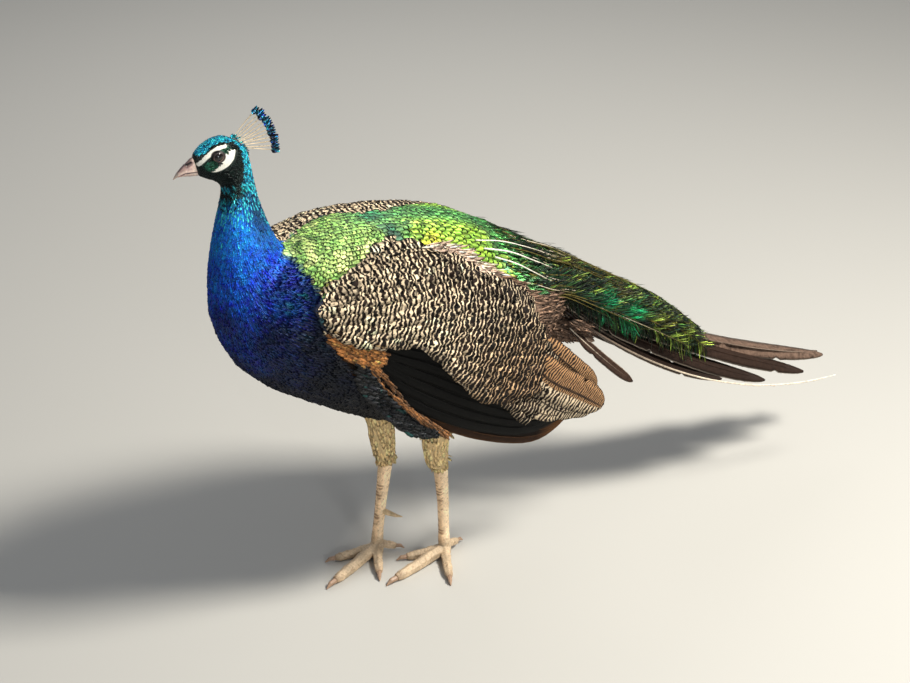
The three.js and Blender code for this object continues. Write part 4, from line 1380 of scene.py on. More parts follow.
def wing_layer(name, side, count, half, tint, edge, material, slot):
    """One row of flight feathers, each overlapping the one below it."""
    node = sided(name, side)
    tree = tree_of_nodes(node)
    plumage = Plumage()
    top, low = (np.array(WING_LAYERS[name][line], float) for line in ("top", "low"))
    for index in range(count)[::-1]:
        share = (index + 0.5) / count
        line = spline(top + (low - top) * share, np.linspace(0, len(top) - 1, 7))
        path = path_over(tree, side, line, -(0.4 + 0.28 * index))
        path[-1] = path[-1] + (path[-1] - path[-2]) * 0.05 * chance.normal()
        shade = colour(tint) * chance.uniform(0.8, 1.2)
        # On the primaries and alula the lowest feathers take a fifth of rufous: a painted lit edge over feathers
        # painted in shade.
        shade = shade + (colour(edge) - shade) * 0.2 * smooth(0.8, 1.0, share)
        place = (0.1 + 0.8 * share, 0.5)
        vane(plumage, path, (0, side, 0), half, shade, place=place, camber=0.08, torn=0.04, lean=0.2)
        rod(plumage, path + (0, side * 0.35, 0), [1.0, 0.7, 0.3], [shade * 0.7 + 12, shade * 0.6 + 8],
            place=place)
    plumage.piece(node, material, slot, node)


def tertial_feathers():
    """Brown and finely barred on one side of the shaft, cream with bold straight bars on the other."""
    material, tree, shader = surface("tertials", 0.7, Specular_IOR_Level=0.25)
    where = place_of(tree)
    drift = wander(tree, where, 90.0, 3.0, 2.2)

    def bars(pitch, low, high):
        turns = maths(tree, "DIVIDE", attribute(tree, "reach"), pitch)
        return ranged(tree, wave(tree, maths(tree, "ADD", turns, drift)), low, high)

    fine = mixed(tree, bars(0.005, -0.6, 0.3), "tan", "bar")
    bold = mixed(tree, bars(0.0078, -0.35, 0.0), "cream", "bar")
    colour = mixed(tree, ranged(tree, attribute(tree, "bold"), 0.4, 0.6), fine, bold)
    for low, high, at_low, at_high in ((0.03, 0.1, 0.9, 0.0), (0.9, 1.0, 0.0, 0.7)):
        colour = mixed(tree, ranged(tree, from_shaft(tree), low, high, at_low, at_high), colour, "bar")
    paint(tree, shader, colour)
    relief(tree, shader, barbs(tree, 50), 0.0001, 0.4)
    return material


def make_tertials(side, material):
    node = sided("tertials", side)
    tree = tree_of_nodes(node)
    plumage = Plumage()
    for index, (knots, half, stands) in enumerate(TERTIALS):
        line = spline(knots, np.linspace(0, len(knots) - 1, 8))
        path = path_over(tree, side, line, stands - 1.6)
        place = (0.1 + 0.8 * index / len(TERTIALS), 0.5)
        vane(plumage, path, (0, side, 0), half, colour("cream"), place=place, steps=36,
             camber=0.07 if stands < 4 else -0.02, torn=0.03, splits=1, opening=0.3, closing=0.62,
             reach=40 * index)
        rod(plumage, path[:-1] + (0, side * 0.4, 0), [1.0, 0.8, 0.35], [colour("bar"), colour("bar") * 0.8],
            place=place)
    made = plumage.piece(node, material, "plumage_barred", node)
    across = values_of(made.data, "across")
    feather = np.arange(len(across)) * len(TERTIALS) // len(across)
    store(made.data, "bold", np.select([feather == 3, feather == 4], [0.0, across * side > 0], 1.0))


def wing_patches(name, side, shape, materials):
    """Small feathers over a folded wing: on the tertials, along its leading edge and below it."""
    over = tree_of_nodes("tertials_" + name)
    pale = colour("cream") * 0.85
    coverts = patch_roots(side, TERTIAL_COVERTS, over, 13, (0.72, -0.69), 38, 17, pale, stand=1.2)
    lay_coat("coat_tertials_" + name, coverts.varied(0.08), shape, materials["coverts"],
             ["tertials_" + name], lift=3, ruffle=0.03, seed=17 + side, height=0.5)
    under = tree_of_nodes("secondaries_" + name, "primaries_" + name, "alula_" + name)
    strip = patch_roots(side, RUFOUS_STRIP, under, 4.0, (0.62, -0.78), 16, 3.2, colour("rufous") * 0.66)
    wrist = patch_roots(side, WRIST, under, 4.5, (0.75, -0.5), 14, 4.6, colour("rufous"), stand=1.2)
    lay_coat("coat_wrist_" + name, strip.plus(wrist).varied(0.2), shape, materials["rufous"],
             ["alula_" + name], lift=3, ruffle=0.07, seed=21 + side, height=0.3)
    flank = patch_roots(side, FLANK, under, 6.0, (0.8, -0.55), 16, 6, colour("night"), stand=1.6)
    flank.fields["tint"][chance.random(len(flank)) < 0.12] = colour("teal") * 0.7
    lay_coat("coat_flank_" + name, flank.varied(0.3), shape, materials["flank"], ["breast"],
             lift=3, ruffle=0.06, seed=31 + side, height=0.3)


def make_wings():
    dark = plain_feathers("flight feathers", 0.6, ribs=60, gloss=0.12)
    # The primaries' feathers: a near-black chestnut as painted shade, with a rufous fringe painted as their lit
    # rim.
    chestnut_in_painted_shade = plain_feathers("chestnut feathers", 0.6, fringe="rufous", fringe_share=0.2, ribs=60, gloss=0.1)
    barred = tertial_feathers()
    shape = feather_shape("covert", leaf([0.55, 0.95, 1.0, 0.8], 0.92), camber=0.1)
    materials = {
        "coverts": barred_feathers("tertial coverts", 0.0055, width=1.4, warm=0.5),
        "rufous": plain_feathers("rufous feathers", 0.8, "cream", fringe_share=0.2, ribs=10, flecks=0.6),
        "flank": gloss_feathers("flank plumage", 0.4, 0.35, "teal", 0.2, spread=(0.85, 0.98)),
    }
    for name, side in SIDES.items():
        wing_layer("primaries", side, 6, 14, "chestnut_in_painted_shade", "rufous", chestnut_in_painted_shade, "plumage_rufous")
        wing_layer("secondaries", side, 8, 15, "black", "black", dark, "plumage_black")
        wing_layer("alula", side, 3, 13, "chestnut_in_painted_shade", "rufous", chestnut_in_painted_shade, "plumage_rufous")
        make_tertials(side, barred)
        wing_patches(name, side, shape, materials)
    remove(shape)


# ---- train and tail

TRAIN_AXIS = [
    (-20, 470), (30, 450), (80, 430), (118, 405), (150, 394), (213, 352), (290, 304), (345, 262), (372, 240),
]
TRAIN_PLUMES = 210
TRAIN_ARC = 102  # degrees from the top down to where the lowest plumes grow on each side
TRAIN_HALF = 88  # a plume that strays farther than this from the middle plane is left out
TRAIN = ("train_left", "train_centre", "train_right")
TRAIN_THIRD = math.radians(34)  # plumes within this angle of the top belong to the middle piece
EMERALDS = [((240, -49, 329), 26), ((201, -45, 361), 22)]  # shining patches: middle and size
BARB_GAP = 3.4
BARE_SHAFTS = [
    ([(5, -70, 499), (48, -62, 480), (90, -50, 452), (125, -41, 428)], 1.3),
    ([(19, -74, 485), (52, -70, 466), (84, -64, 442), (117, -56, 416)], 1.2),
    ([(-2, -60, 508), (40, -52, 493), (82, -40, 470), (118, -30, 448)], 0.9),
]


def on_train(tree, at, angle):
    """The outer surface of the rump or train, at a point along its axis and an angle from the top."""
    middle = spline(TRAIN_AXIS, np.array(at))
    ahead = unit(spline(TRAIN_AXIS, np.array(at + 0.05)) - middle)
    out = math.cos(angle) * np.array([-ahead[1], 0, ahead[0]]) + math.sin(angle) * ACROSS
    origin = np.array([middle[0], 0, middle[1]])
    hit = cast(tree, origin + out * 160, -out)
    return None if hit is None or np.dot(hit[0] - origin, out) < -2 else hit


def plume_path(tree, first, last, angle, turn, stand):
    path = []
    for share in np.linspace(0, 1, 9):
        hit = on_train(tree, first + (last - first) * share, angle + turn * share)
        if hit is None:
            break
        point, normal = hit
        path.append(point + normal * stand * smooth(0, 0.5, share))
    while 3 < len(path) < 9:
        path.append(2 * path[-1] - path[-2] + np.array([0, 0, -1.2]))
    if len(path) < 4:
        return None
    path = np.array(path)
    for _ in range(3):
        path[1:-1] = 0.25 * path[:-2] + 0.5 * path[1:-1] + 0.25 * path[2:]
    return path


def plume_tint(point, share):
    """Dark green and bronze, yellow-green where the light catches the hanging tips, emerald in places."""
    drift, fine = float(ripple(point, 24, 3)), float(ripple(point, 8, 5))
    tint = colour("train") + (colour("bronze") - colour("train")) * float(smooth(0.2, 0.9, drift)) * 0.7
    tint = tint + (colour("rump") - tint) * float(smooth(0.2, 0.8, fine)) * 0.5
    light = max(float(smooth(0.5, 0.95, share)), 0.8 * float(smooth(0.4, 0.9, ripple(point, 14, 8))))
    tint = tint + (colour("olive") - tint) * light * float(smooth(-0.2, 0.5, fine)) * 0.85
    if chance.random() < 0.2:
        tint = tint * 0.3
    for spot, size in EMERALDS:
        near = float(smooth(size, size * 0.4, np.linalg.norm(point - np.array(spot))))
        tint = tint + (colour("emerald") - tint) * near * 0.9
    return tint


def plume_barbs(path, angle, place):
    """Roots of the loose barbs on both hands of one plume, longer where it hangs down the side."""
    run = np.concatenate([[0], np.cumsum(np.linalg.norm(np.diff(path, axis=0), axis=1))])
    spots = np.arange(3 + chance.random() * 3, run[-1], BARB_GAP)
    count, share = len(spots), spots / run[-1]
    at = np.interp(spots, run, np.arange(len(path)))
    points = spline(path, at)
    heading = unit(spline(path, at + 0.05) - spline(path, at - 0.05))
    axis = np.array(TRAIN_AXIS, float)
    middle = spline(axis, np.interp(points[:, 0], axis[:, 0], np.arange(len(axis))))
    up = unit(points - middle[:, [0, 0, 1]] * (1, 0, 1))
    side = unit(np.cross(up, heading))
    up = np.cross(heading, side)
    hands = []
    for hand in (-1, 1):
        spread = chance.uniform(0.3, 0.62, count)[:, None]
        hanging = float(smooth(0.7, 1.2, abs(angle))) if (side[:, 2] * hand).mean() < 0 else 0.0
        spread = spread * (1 + 0.7 * hanging)
        lie = unit(heading + side * hand * spread + up * chance.normal(-0.02, 0.07, (count, 1)))
        bulge = (0.6 + 0.5 * np.sin(share * 2.6)) * (1 + 0.5 * hanging)
        hands.append(Roots(
            point=points, up=unit(up + side * hand * 0.25), lie=lie,
            length=chance.uniform(22, 36, count) * bulge, width=np.full(count, 1.25),
            sag=chance.uniform(1.0, 7.0, count), tint=[plume_tint(*spot) for spot in zip(points, share)],
            place=[place] * count, reach=spots))
    return hands


def make_plumes():
    """The train's shafts, and the roots of all barbs with the angle from the top of the plume each is on."""
    tree = BVHTree.FromPolygons(*joined([solid_of(*TRAIN), (bird_points(SKIN), faces_of(SKIN.data))]))
    shafts, grown, turned = Plumage(), [], []
    for _ in range(TRAIN_PLUMES):
        angle = math.radians(chance.uniform(-TRAIN_ARC, TRAIN_ARC))
        first = chance.uniform(0.4, 4.9)
        last = min(first + chance.uniform(2.2, 3.4), 7.75 - 0.8 * abs(angle) * chance.random())
        path = plume_path(tree, first, last, angle, chance.normal(0, 0.12), chance.uniform(1.5, 6.0))
        if path is None or np.abs(path[:, 1]).max() > TRAIN_HALF:
            continue
        place = (0.02 + 0.96 * first / 8, 0.5 + 0.48 * angle / 1.5)
        pale = colour("shaft") if chance.random() < 0.3 else colour("bronze") * 1.2
        rod(shafts, path, [0.75, 0.5, 0.2], [pale, pale * 0.9, colour("bronze")], place=place)
        grown += plume_barbs(path, angle, place)
        turned += [angle] * (2 * len(grown[-1]))
    for path, radius in BARE_SHAFTS:
        rod(shafts, np.array(path, float), [radius, radius * 0.8, radius * 0.4],
            [colour("face_white"), colour("face_white"), colour("shaft")], steps=18)
    return shafts, grown[0].plus(*grown[1:]), np.array(turned)


def make_train_base():
    """The dark layer that shows between the plumes: the train's green at half strength, as painted shade."""
    points, faces = solid_of(*TRAIN, swell=-0.5)
    base = remeshed("train_form", points, faces, 4.0, relax=12)
    at = bird_points(base)
    set_points(base.data, to_frame(at - 2.5 * normals_of(base.data)))
    # Painted shade: the layer between the plumes at half the train's green.
    shade = blended(even_tint("train", len(at), 0.5), "bronze", 0.4 * smooth(0, 0.8, ripple(at, 12)))
    store_tint(base.data, shade)
    dark = tinted("train under layer", 0.9, Specular_IOR_Level=0.1)
    plain_piece(base, "train_base", dark, "plumage_green", *TRAIN)


def make_train():
    shafts, barbs_of_train, turned = make_plumes()
    barbs_of_train.varied(0.3)
    thread = feather_shape("thread", leaf([0.7, 1.0, 0.7], 0.8), camber=0.05, thickness=0.01)
    shine = gloss_feathers("train plumage", 0.5, 0.45, "train", 0.0, ribs=0)
    thirds = (turned < -TRAIN_THIRD, np.abs(turned) <= TRAIN_THIRD, turned > TRAIN_THIRD)
    for seed, (node, chosen) in enumerate(zip(TRAIN, thirds)):
        lay_coat(node.replace("train", "train_plumes"), barbs_of_train.where(chosen), thread, shine,
                 [node], lift=1, ruffle=0.08, seed=41 + seed, height=0.3)
    shafts.piece("train_shafts", plain_feathers("shafts", 0.45, ribs=0), "plumage_green", *TRAIN)
    make_train_base()
    remove(thread)


RECTRICES = [
    {"root": (150, 5, 372), "tip": (632, 8, 138), "sag": 24, "half": 17, "flare": 0.8},
    {"root": (150, 8, 368.4), "tip": (580, 30, 134), "sag": 13, "half": 16, "flare": 0.8},
    {"root": (150, 12, 364.8), "tip": (495, 47, 152), "sag": 16, "half": 15, "flare": 0.8},
    {"root": (150, 16, 361.2), "tip": (412, 52, 180), "sag": 21, "half": 11, "flare": 0.8},
]
OUTER_RECTRIX = {
    "left": {"root": (150, 24, 352), "tip": (600, 80, 148), "sag": 54, "half": 3.6, "flare": 0.5},
    "right": {"root": (150, 20, 352), "tip": (380, 58, 180), "sag": 24, "half": 9, "flare": 0.6},
}
BARE_HALF = 4  # a tail feather narrower than this is only a shaft with rags
SHORT_FEATHER = {"root": (160, 34, 322), "tip": (250, 62, 226), "sag": 3, "half": 8, "flare": 0.6}
RIGHT_DROP = 1.6  # the right tail feathers lie this much under the left ones


def tail_path(form, side):
    share = np.linspace(0, 1, 14)
    root, tip = np.array(form["root"], float), np.array(form["tip"], float)
    x = root[0] + (tip[0] - root[0]) * share
    y = side * (root[1] + (tip[1] - root[1]) * share ** form["flare"])
    z = root[2] + (tip[2] - root[2]) * share - 4 * form["sag"] * share * (1 - share)
    return np.column_stack([x, y, z - (RIGHT_DROP if side > 0 else 0)])


def bare_feather(path, place, half):
    """A tail feather worn down to its pale shaft, with rags of vane near its end."""
    plumage = Plumage()
    vane(plumage, path, (0, 0, 1), half, colour("tail_light"), place=place, steps=60, torn=0.75,
         splits=20, start=0.55, end=0.97, camber=0.3, thickness=0.4)
    rod(plumage, path, [1.7, 1.3, 0.8], [colour("tail"), colour("shaft"), colour("face_white")],
        place=place, steps=30, sides=7)
    return plumage


def tail_feather(path, place, half, shade, side):
    plumage = Plumage()
    vane(plumage, path, (0, 0.55 * side, 1), half, shade, place=place, steps=64, torn=0.04,
         camber=0.3, thickness=0.6, opening=0.3, closing=0.68, lean=-0.15 * side, curl=0.05)
    rod(plumage, path[:-1] + (0, 0, 0.5), [1.8, 1.3, 0.4], [colour("shaft") * 0.85, shade * 1.2, shade],
        place=place, steps=24, sides=6)
    return plumage


def make_tail():
    brown = plain_feathers("tail feathers", 0.6, fringe="tail_light", fringe_share=0.9, ribs=70, flecks=0.6,
                           tipped=False, gloss=0.15)
    bare = plain_feathers("bare shafts", 0.45, ribs=0)
    for name, side in SIDES.items():
        for index, form in enumerate(RECTRICES + [OUTER_RECTRIX[name]]):
            node = "rectrix_{}_{}".format(index + 1, name)
            path, place, half = tail_path(form, side), (0.1 + 0.16 * index, 0.5), form["half"]
            shade = colour("tail_top") if index == 0 else colour("tail") * (1.1 - 0.1 * index)
            if half < BARE_HALF:
                bare_feather(path, place, half).piece(node, bare, "plumage_brown", node)
            else:
                tail_feather(path, place, half, shade, side).piece(node, brown, "plumage_brown", node)
    plumage, path = Plumage(), tail_path(SHORT_FEATHER, -1)
    vane(plumage, path, (0, -1.2, 1), SHORT_FEATHER["half"], colour("tail") * 1.15, steps=26, camber=0.1)
    rod(plumage, path, [1.0, 0.7, 0.3], [colour("shaft"), colour("tail")])
    plumage.piece("short_feather", brown, "plumage_brown", "short_feather")


# ---- crest

CREST = {
    "top": (-302, 688), "low": (-291, 676), "shafts": 11, "length": 41, "fan": (45, -17), "lean": 0.45,
    "barbs": 46, "tip": 8,
}
CREST_KNOB = [(-305, 692), (-296, 686), (-289, 674), (-286, 667)]


def grown(point, up, lie, length, width, tint):
    """One root of the crest, at a place of its own on the bake map."""
    place = (0.5 + 0.4 * chance.random(), chance.random())
    return dict(zip(Roots.FIELDS, (point, up, lie, length, width, 0.0, tint, place, 0.0)))


def crest_shaft(shafts, index):
    """One bare shaft with short barbs and the fan of blue-green barbs at its end."""
    rows = []
    share = index / (CREST["shafts"] - 1)
    angle = math.radians(CREST["fan"][0] + (CREST["fan"][1] - CREST["fan"][0]) * share)
    ahead, across = (np.array([math.cos(turn), 0, math.sin(turn)]) for turn in (angle, angle + math.pi / 2))
    start = np.array(CREST["top"], float) + share * (np.array(CREST["low"]) - CREST["top"])
    start = np.array([start[0], 0.0, start[1]]) - ahead * 5
    lean = CREST["lean"] * (1 if index % 2 == 0 else -1)
    end = start + ahead * (CREST["length"] + 5 + chance.uniform(-1, 1)) + (0, lean, 0)
    bow = across * chance.uniform(-1.2, 1.2)
    path = np.array([start, start + (end - start) * 0.5 + bow, end, end + ahead * 5])
    rod(shafts, path, [0.5, 0.34, 0.24], [colour("shaft"), colour("thigh") * 0.9, colour("bronze")], steps=12)
    for _ in range(9):
        at = chance.uniform(0.3, 0.95)
        lie = unit(ahead + across * chance.choice([-1, 1]) * 0.5)
        rows.append(grown(start + (end - start) * at + bow * 0.6, (0, 1, 0), lie, 2.6, 0.3, colour("bronze")))
    for step in range(CREST["barbs"]):
        reach = step / (CREST["barbs"] - 1)
        tilt = chance.uniform(-0.35, 0.35)
        lie = unit(ahead + across * (-1 if step % 2 else 1) * (1.25 - 0.75 * reach) + tilt * ACROSS)
        pick = chance.random()
        tint = colour("navy") if pick < 0.66 else colour("cobalt") if pick < 0.76 else colour("crown")
        root = end + ahead * (reach * CREST["tip"] - 1.5)
        rows.append(grown(root, unit(ACROSS + across * 0.3 * tilt), lie, 5.6 - reach, 1.9, tint))
    return rows


def crest_knob():
    """Small feathers round the foot of the crest."""
    at = chance.uniform(0, len(CREST_KNOB) - 1)
    x, z = spline(CREST_KNOB, np.array(at))
    back = unit(np.array([0.9, chance.normal(0, 0.35), 0.25 - 0.35 * at + chance.normal(0, 0.15)]))
    up = unit(-np.cross(back, ACROSS) + chance.normal(0, 0.3, 3))
    root, length = np.array([x, chance.normal(0, 1.6), z]), chance.uniform(5, 8)
    # Painted glints: half the small feathers take the pale turquoise.
    return grown(root, up, back, length, 2.2, colour("crown_painted_glint" if chance.random() < 0.5 else "crown"))


def make_crest():
    shafts = Plumage()
    rows = [row for index in range(CREST["shafts"]) for row in crest_shaft(shafts, index)]
    rows += [crest_knob() for _ in range(70)]
    blade = feather_shape("crest barb", leaf([0.5, 1.0, 0.75], 0.85), camber=0.1)
    shine = gloss_feathers("crest plumage", 0.3, 0.5, "night", 0.3, ribs=5)
    lay_coat("crest_tips", gathered(rows).varied(0.25), blade, shine, ["crest"], lift=0,
             ruffle=0.1, seed=51)
    shafts.piece("crest_shafts", plain_feathers("crest shafts", 0.45, ribs=0), "crest_feathers", "crest")
    remove(blade)


# ---- eyes and bill

def plain_piece(made, name, material, slot, *nodes):
    made.name = own_name(name)
    made.data.materials.clear()
    made.data.materials.append(material)
    shade_smooth(made.data)
    hand_over(made, nodes)


def tinted(name, roughness, grain=700.0, depth=0.0002, **sockets):
    """A material in the tint its points carry, with a fine grain."""
    material, tree, shader = surface(name, roughness, **sockets)
    where = place_of(tree)
    paint(tree, shader, own_tint(tree, ranged(tree, noise(tree, where, grain, 3.0), 0.3, 0.7, 0.85, 1.12)))
    relief(tree, shader, noise(tree, where, grain * 1.6), depth, 0.5)
    return material


def eyeball(centre, radius, rings=40, around=56):
    """A round ball with its pole to the side, so that the pupil lies in the middle of the rings."""
    side = 1 if centre[1] > 0 else -1
    points, faces = [np.array([0, side * radius, 0])], []
    for ring in range(1, rings):
        polar = math.pi * (ring / rings) ** 1.25
        for step in range(around):
            turn = math.tau * step / around
            out = math.sin(polar) * radius
            points.append(np.array([out * math.cos(turn), side * math.cos(polar) * radius, out * math.sin(turn)]))
    points.append(np.array([0, -side * radius, 0]))
    last = len(points) - 1
    for step in range(around):
        after = (step + 1) % around
        faces.append((0, 1 + after, 1 + step)[::side])
        faces.append((last, last - around + step, last - around + after)[::side])
        for ring in range(rings - 2):
            a, b = 1 + ring * around + step, 1 + ring * around + after
            faces.append((a, b, b + around, a + around)[::side])
    return np.array(points) + centre, faces


def make_eyes():
    material, tree, shader = surface(
        "eye", 0.04, Coat_Weight=1.0, Coat_Roughness=0.02, IOR=1.38, Specular_IOR_Level=0.2)
    paint(tree, shader, attribute(tree, "tint", "Color"))
    for name, side in SIDES.items():
        centre = EYE_CENTRE * (1, side, 1)
        points, faces = eyeball(centre, EYE_RADIUS)
        made = mesh_object("ball", to_frame(points), faces)
        from_axis = np.hypot(points[:, 0] - centre[0], points[:, 2] - centre[2])
        tint = even_tint("iris", len(points))
        tint = blended(tint, "iris_light", 0.6 * smooth(3.0, 3.9, from_axis) * smooth(5.6, 4.6, from_axis))
        tint = blended(tint, "pupil", smooth(3.1, 2.7, from_axis))
        # Painted shade: the ball turns black where it runs under the lids.
        store_tint(made.data, blended(tint, "pupil", smooth(5.3, 5.9, from_axis)))
        plain_piece(made, "eye_" + name, material, "eye", "eye_" + name)


NOSTRIL = {"from": (-363.0, 668.2), "to": (-357.5, 671.2), "half": 0.75, "depth": 1.3}


def make_bill():
    horn = tinted("bill horn", 0.38, grain=420.0, depth=0.00012, Coat_Weight=0.15, Subsurface_Weight=0.08)
    for node in ("bill_upper", "bill_lower"):
        made = remeshed(node + "_form", *solid_of(node), 0.42, relax=4)
        at, out, upper = bird_points(made), normals_of(made.data), node == "bill_upper"
        if upper:
            slit = from_segment(NOSTRIL["from"], NOSTRIL["to"], at[:, 0], at[:, 2])
            at = at - out * (NOSTRIL["depth"] * smooth(NOSTRIL["half"] + 0.7, NOSTRIL["half"] - 0.4, slit))[:, None]
            set_points(made.data, to_frame(at))
        store_tint(made.data, bill_tint(at, upper))
        plain_piece(made, node, horn, "bill_horn", node)


GAPE = [(-380, 651.5), (-374, 656.5), (-366, 659.5), (-346, 659)]


def bill_tint(at, upper):
    """Pinkish horn: darker along the ridge, pale at the cutting edge, the base and the tip, with painted shade in
    the nostril and along the gape.
    """
    x, y, z = at.T
    tint = even_tint("bill", len(at))
    tint = blended(tint, "bill_pale", 0.7 * smooth(-362, -352, x))
    if upper:
        ridge = smooth(2.6, 0.9, np.abs(y)) * smooth(657, 662, z)
        tint = blended(tint, "bill_ridge", 0.75 * ridge)
        # Painted shade: the nostril's groove is darkened and its slit made near black.
        slit = from_segment(NOSTRIL["from"], NOSTRIL["to"], x, z)
        tint = blended(tint, "bill_ridge", 0.55 * smooth(3.4, 1.6, slit))
        tint = blended(tint, "iris", 0.9 * smooth(1.3, 0.7, slit))
    # Painted shade: a dark line along the gape, where the two halves of the bill meet.
    gape = np.abs(z - on_line(GAPE, x))
    tint = blended(tint, "bill_ridge", 0.85 * smooth(1.0, 0.5, gape) * smooth(-374, -368, x))
    tint = blended(tint, "bill_pale", 0.6 * smooth(5.0, 2.0, gape) * smooth(0.6, 1.4, gape))
    tint = blended(tint, "bill_pale", 0.8 * smooth(-372, -378, x))
    return tint


# ---- legs and feet

THIGHS = {
    "left": [(-62, -48, 285), (-54, -42, 245), (-49, -35, 212), (-46, -30, 182), (-43, -28, 156)],
    "right": [(-112, 50, 285), (-104, 43, 245), (-98, 34, 210), (-97, 30, 176), (-95, 28, 151)],
}
SHANKS = {
    "left": [(-40, -28, 170), (-37, -28, 150), (-32.5, -25.5, 95), (-30.5, -24, 40), (-30, -24.1, 14)],
    "right": [(-94, 28, 162), (-95, 28, 142), (-103, 25.5, 90), (-110, 24.2, 40), (-112.5, 24.1, 14)],
}
TOE_TURNS = {
    "left": {"outer": 69, "middle": 16, "inner": -13, "hallux": 200},
    "right": {"outer": -8, "middle": 25, "inner": 67, "hallux": 160},
}
TOE_LENGTHS = {"middle": 92, "outer": 62, "inner": 55, "hallux": 27}
SCUTE = {"gap": 5.2, "depth": 0.6}


def make_legs():
    skin = tinted("leg skin", 0.62, grain=380.0, depth=0.0003)
    horn = tinted("claw horn", 0.45, grain=300.0, depth=0.0001)
    spur = tinted("spur horn", 0.4, grain=300.0, depth=0.0001)
    for name in SIDES:
        nodes = ("shank_" + name, "foot_" + name)
        made = remeshed("leg_form", *solid_of(*nodes, swell=0.45), 0.95, relax=6)
        at = leg_form(bird_points(made), normals_of(made.data), name)
        set_points(made.data, to_frame(at))
        store_tint(made.data, leg_tint(at, name))
        plain_piece(made, "leg_" + name, skin, "leg_skin", *nodes)
        for toe in TOE_LENGTHS:
            horn_piece("claw_{}_{}".format(toe, name), horn, "claw_horn", "claw", 0.5)
        horn_piece("spur_" + name, spur, "spur_horn", "spur", 0.4)


def horn_piece(node, material, slot, tint, voxel):
    made = remeshed(node + "_form", *solid_of(node, swell=0.25), voxel, relax=3)
    at = bird_points(made)
    store_tint(made.data, even_tint(tint, len(at)) * (0.96 + 0.06 * ripple(at, 5))[:, None])
    plain_piece(made, node, material, slot, node)


def toe_run(at, name):
    """For each point: how far along its nearest toe, how far from the toe's line, and the toe's length."""
    ankle = np.array(SHANKS[name][-1])
    best = np.full(len(at), 99.0)
    run, full = np.zeros(len(at)), np.ones(len(at))
    for toe, turn in TOE_TURNS[name].items():
        turn = math.radians(turn)
        ahead = np.array([-math.cos(turn), -math.sin(turn)])
        offset = at[:, :2] - ankle[:2]
        along = offset @ ahead
        side = np.abs(offset @ np.array([-ahead[1], ahead[0]]))
        side = np.where(along < 0, np.hypot(along, side), side)
        nearer = side < best
        best, run = np.where(nearer, side, best), np.where(nearer, along, run)
        full = np.where(nearer, TOE_LENGTHS[toe], full)
    return run, best, full


def scutes(run):
    """Overlapping plates: a slow rise and a sharp step every few millimetres."""
    phase = (run / SCUTE["gap"]) % 1.0
    return np.where(phase < 0.82, phase / 0.82, (1 - phase) / 0.18)


def leg_form(at, out, name):
    shank = np.array(SHANKS[name], float)[::-1]
    centre = np.column_stack([np.interp(at[:, 2], shank[:, 2], shank[:, axis]) for axis in (0, 1)])
    front = smooth(0.1, 0.8, -(at[:, 0] - centre[:, 0]) / 8)
    high = smooth(20, 30, at[:, 2])
    run, _, full = toe_run(at, name)
    on_toe = smooth(24, 14, at[:, 2]) * smooth(8, 16, run) * smooth(0.1, 0.6, out[:, 2])
    knuckle = np.exp(-((run / full - 0.36) / 0.06) ** 2) + 0.8 * np.exp(-((run / full - 0.7) / 0.06) ** 2)
    depth = SCUTE["depth"] * (front * high * scutes(at[:, 2]) + on_toe * scutes(-run))
    depth = depth + 0.9 * knuckle * smooth(22, 12, at[:, 2]) * smooth(-0.2, 0.4, out[:, 2])
    depth = depth + 0.25 * ripple(at, 3.2, 4) * (1 - front * high)
    moved = at + out * depth[:, None]
    moved[:, 2] = np.maximum(moved[:, 2], 0.3)
    return moved


def leg_tint(at, name):
    shank = np.array(SHANKS[name], float)[::-1]
    centre = np.interp(at[:, 2], shank[:, 2], shank[:, 0])
    front = smooth(1.0, 6.0, centre - at[:, 0]) * smooth(18, 30, at[:, 2])
    tint = even_tint("leg", len(at)) * (1 + 0.08 * ripple(at, 11))[:, None]
    tint = tint * (1 - 0.22 * smooth(40, 16, at[:, 2]))[:, None]
    spots = smooth(-0.1, 0.5, ripple(at, 5.6, 9) * 0.7 + ripple(at, 17, 2) * 0.6)
    tint = blended(tint, "rufous", 0.15 * front)
    tint = blended(tint, "leg_fleck", 0.6 * front * spots * smooth(0.25, 0.5, (at[:, 2] / SCUTE["gap"]) % 1.0))
    tint = blended(tint, "leg_fleck", 0.3 * smooth(0.6, 0.95, ripple(at, 3.0, 6)))
    run, _, full = toe_run(at, name)
    return blended(tint, "leg_fleck", 0.35 * smooth(0.85, 1.05, run / full) * smooth(14, 9, at[:, 2]))


def thigh_roots(name):
    """Tufts in rings down a thigh, from the body to the bare shank."""
    line = np.array(THIGHS[name], float)
    end = len(line) - 1
    rows = []
    for row, at in enumerate(np.arange(0.5, end, 0.15)):
        middle = spline(line, np.array(at))
        ahead = unit(spline(line, np.array(min(at + 0.1, end))) - spline(line, np.array(at - 0.1)))
        count = int(30 - 4.0 * at)
        for step in range(count):
            turn = math.tau * (step + 0.5 * (row % 2) + chance.normal(0, 0.12)) / count
            out = np.array([math.cos(turn), math.sin(turn), 0])
            hit = cast(SKIN_TREE, middle, along_surface(out, ahead))
            if hit is None or np.linalg.norm(hit[0] - middle) > 60:
                continue
            point, normal = hit
            lie = along_surface(ahead + chance.normal(0, 0.05, 3), normal)
            shade = colour("thigh") * chance.uniform(0.9, 1.1)
            place = (0.02 + 0.96 * at / 4.1, 0.02 + 0.96 * (turn / math.tau % 1))
            values = (point, normal, lie, chance.uniform(11, 15), 6.4, 0.4, shade, place, at * 30)
            rows.append(dict(zip(Roots.FIELDS, values)))
    return gathered(rows)


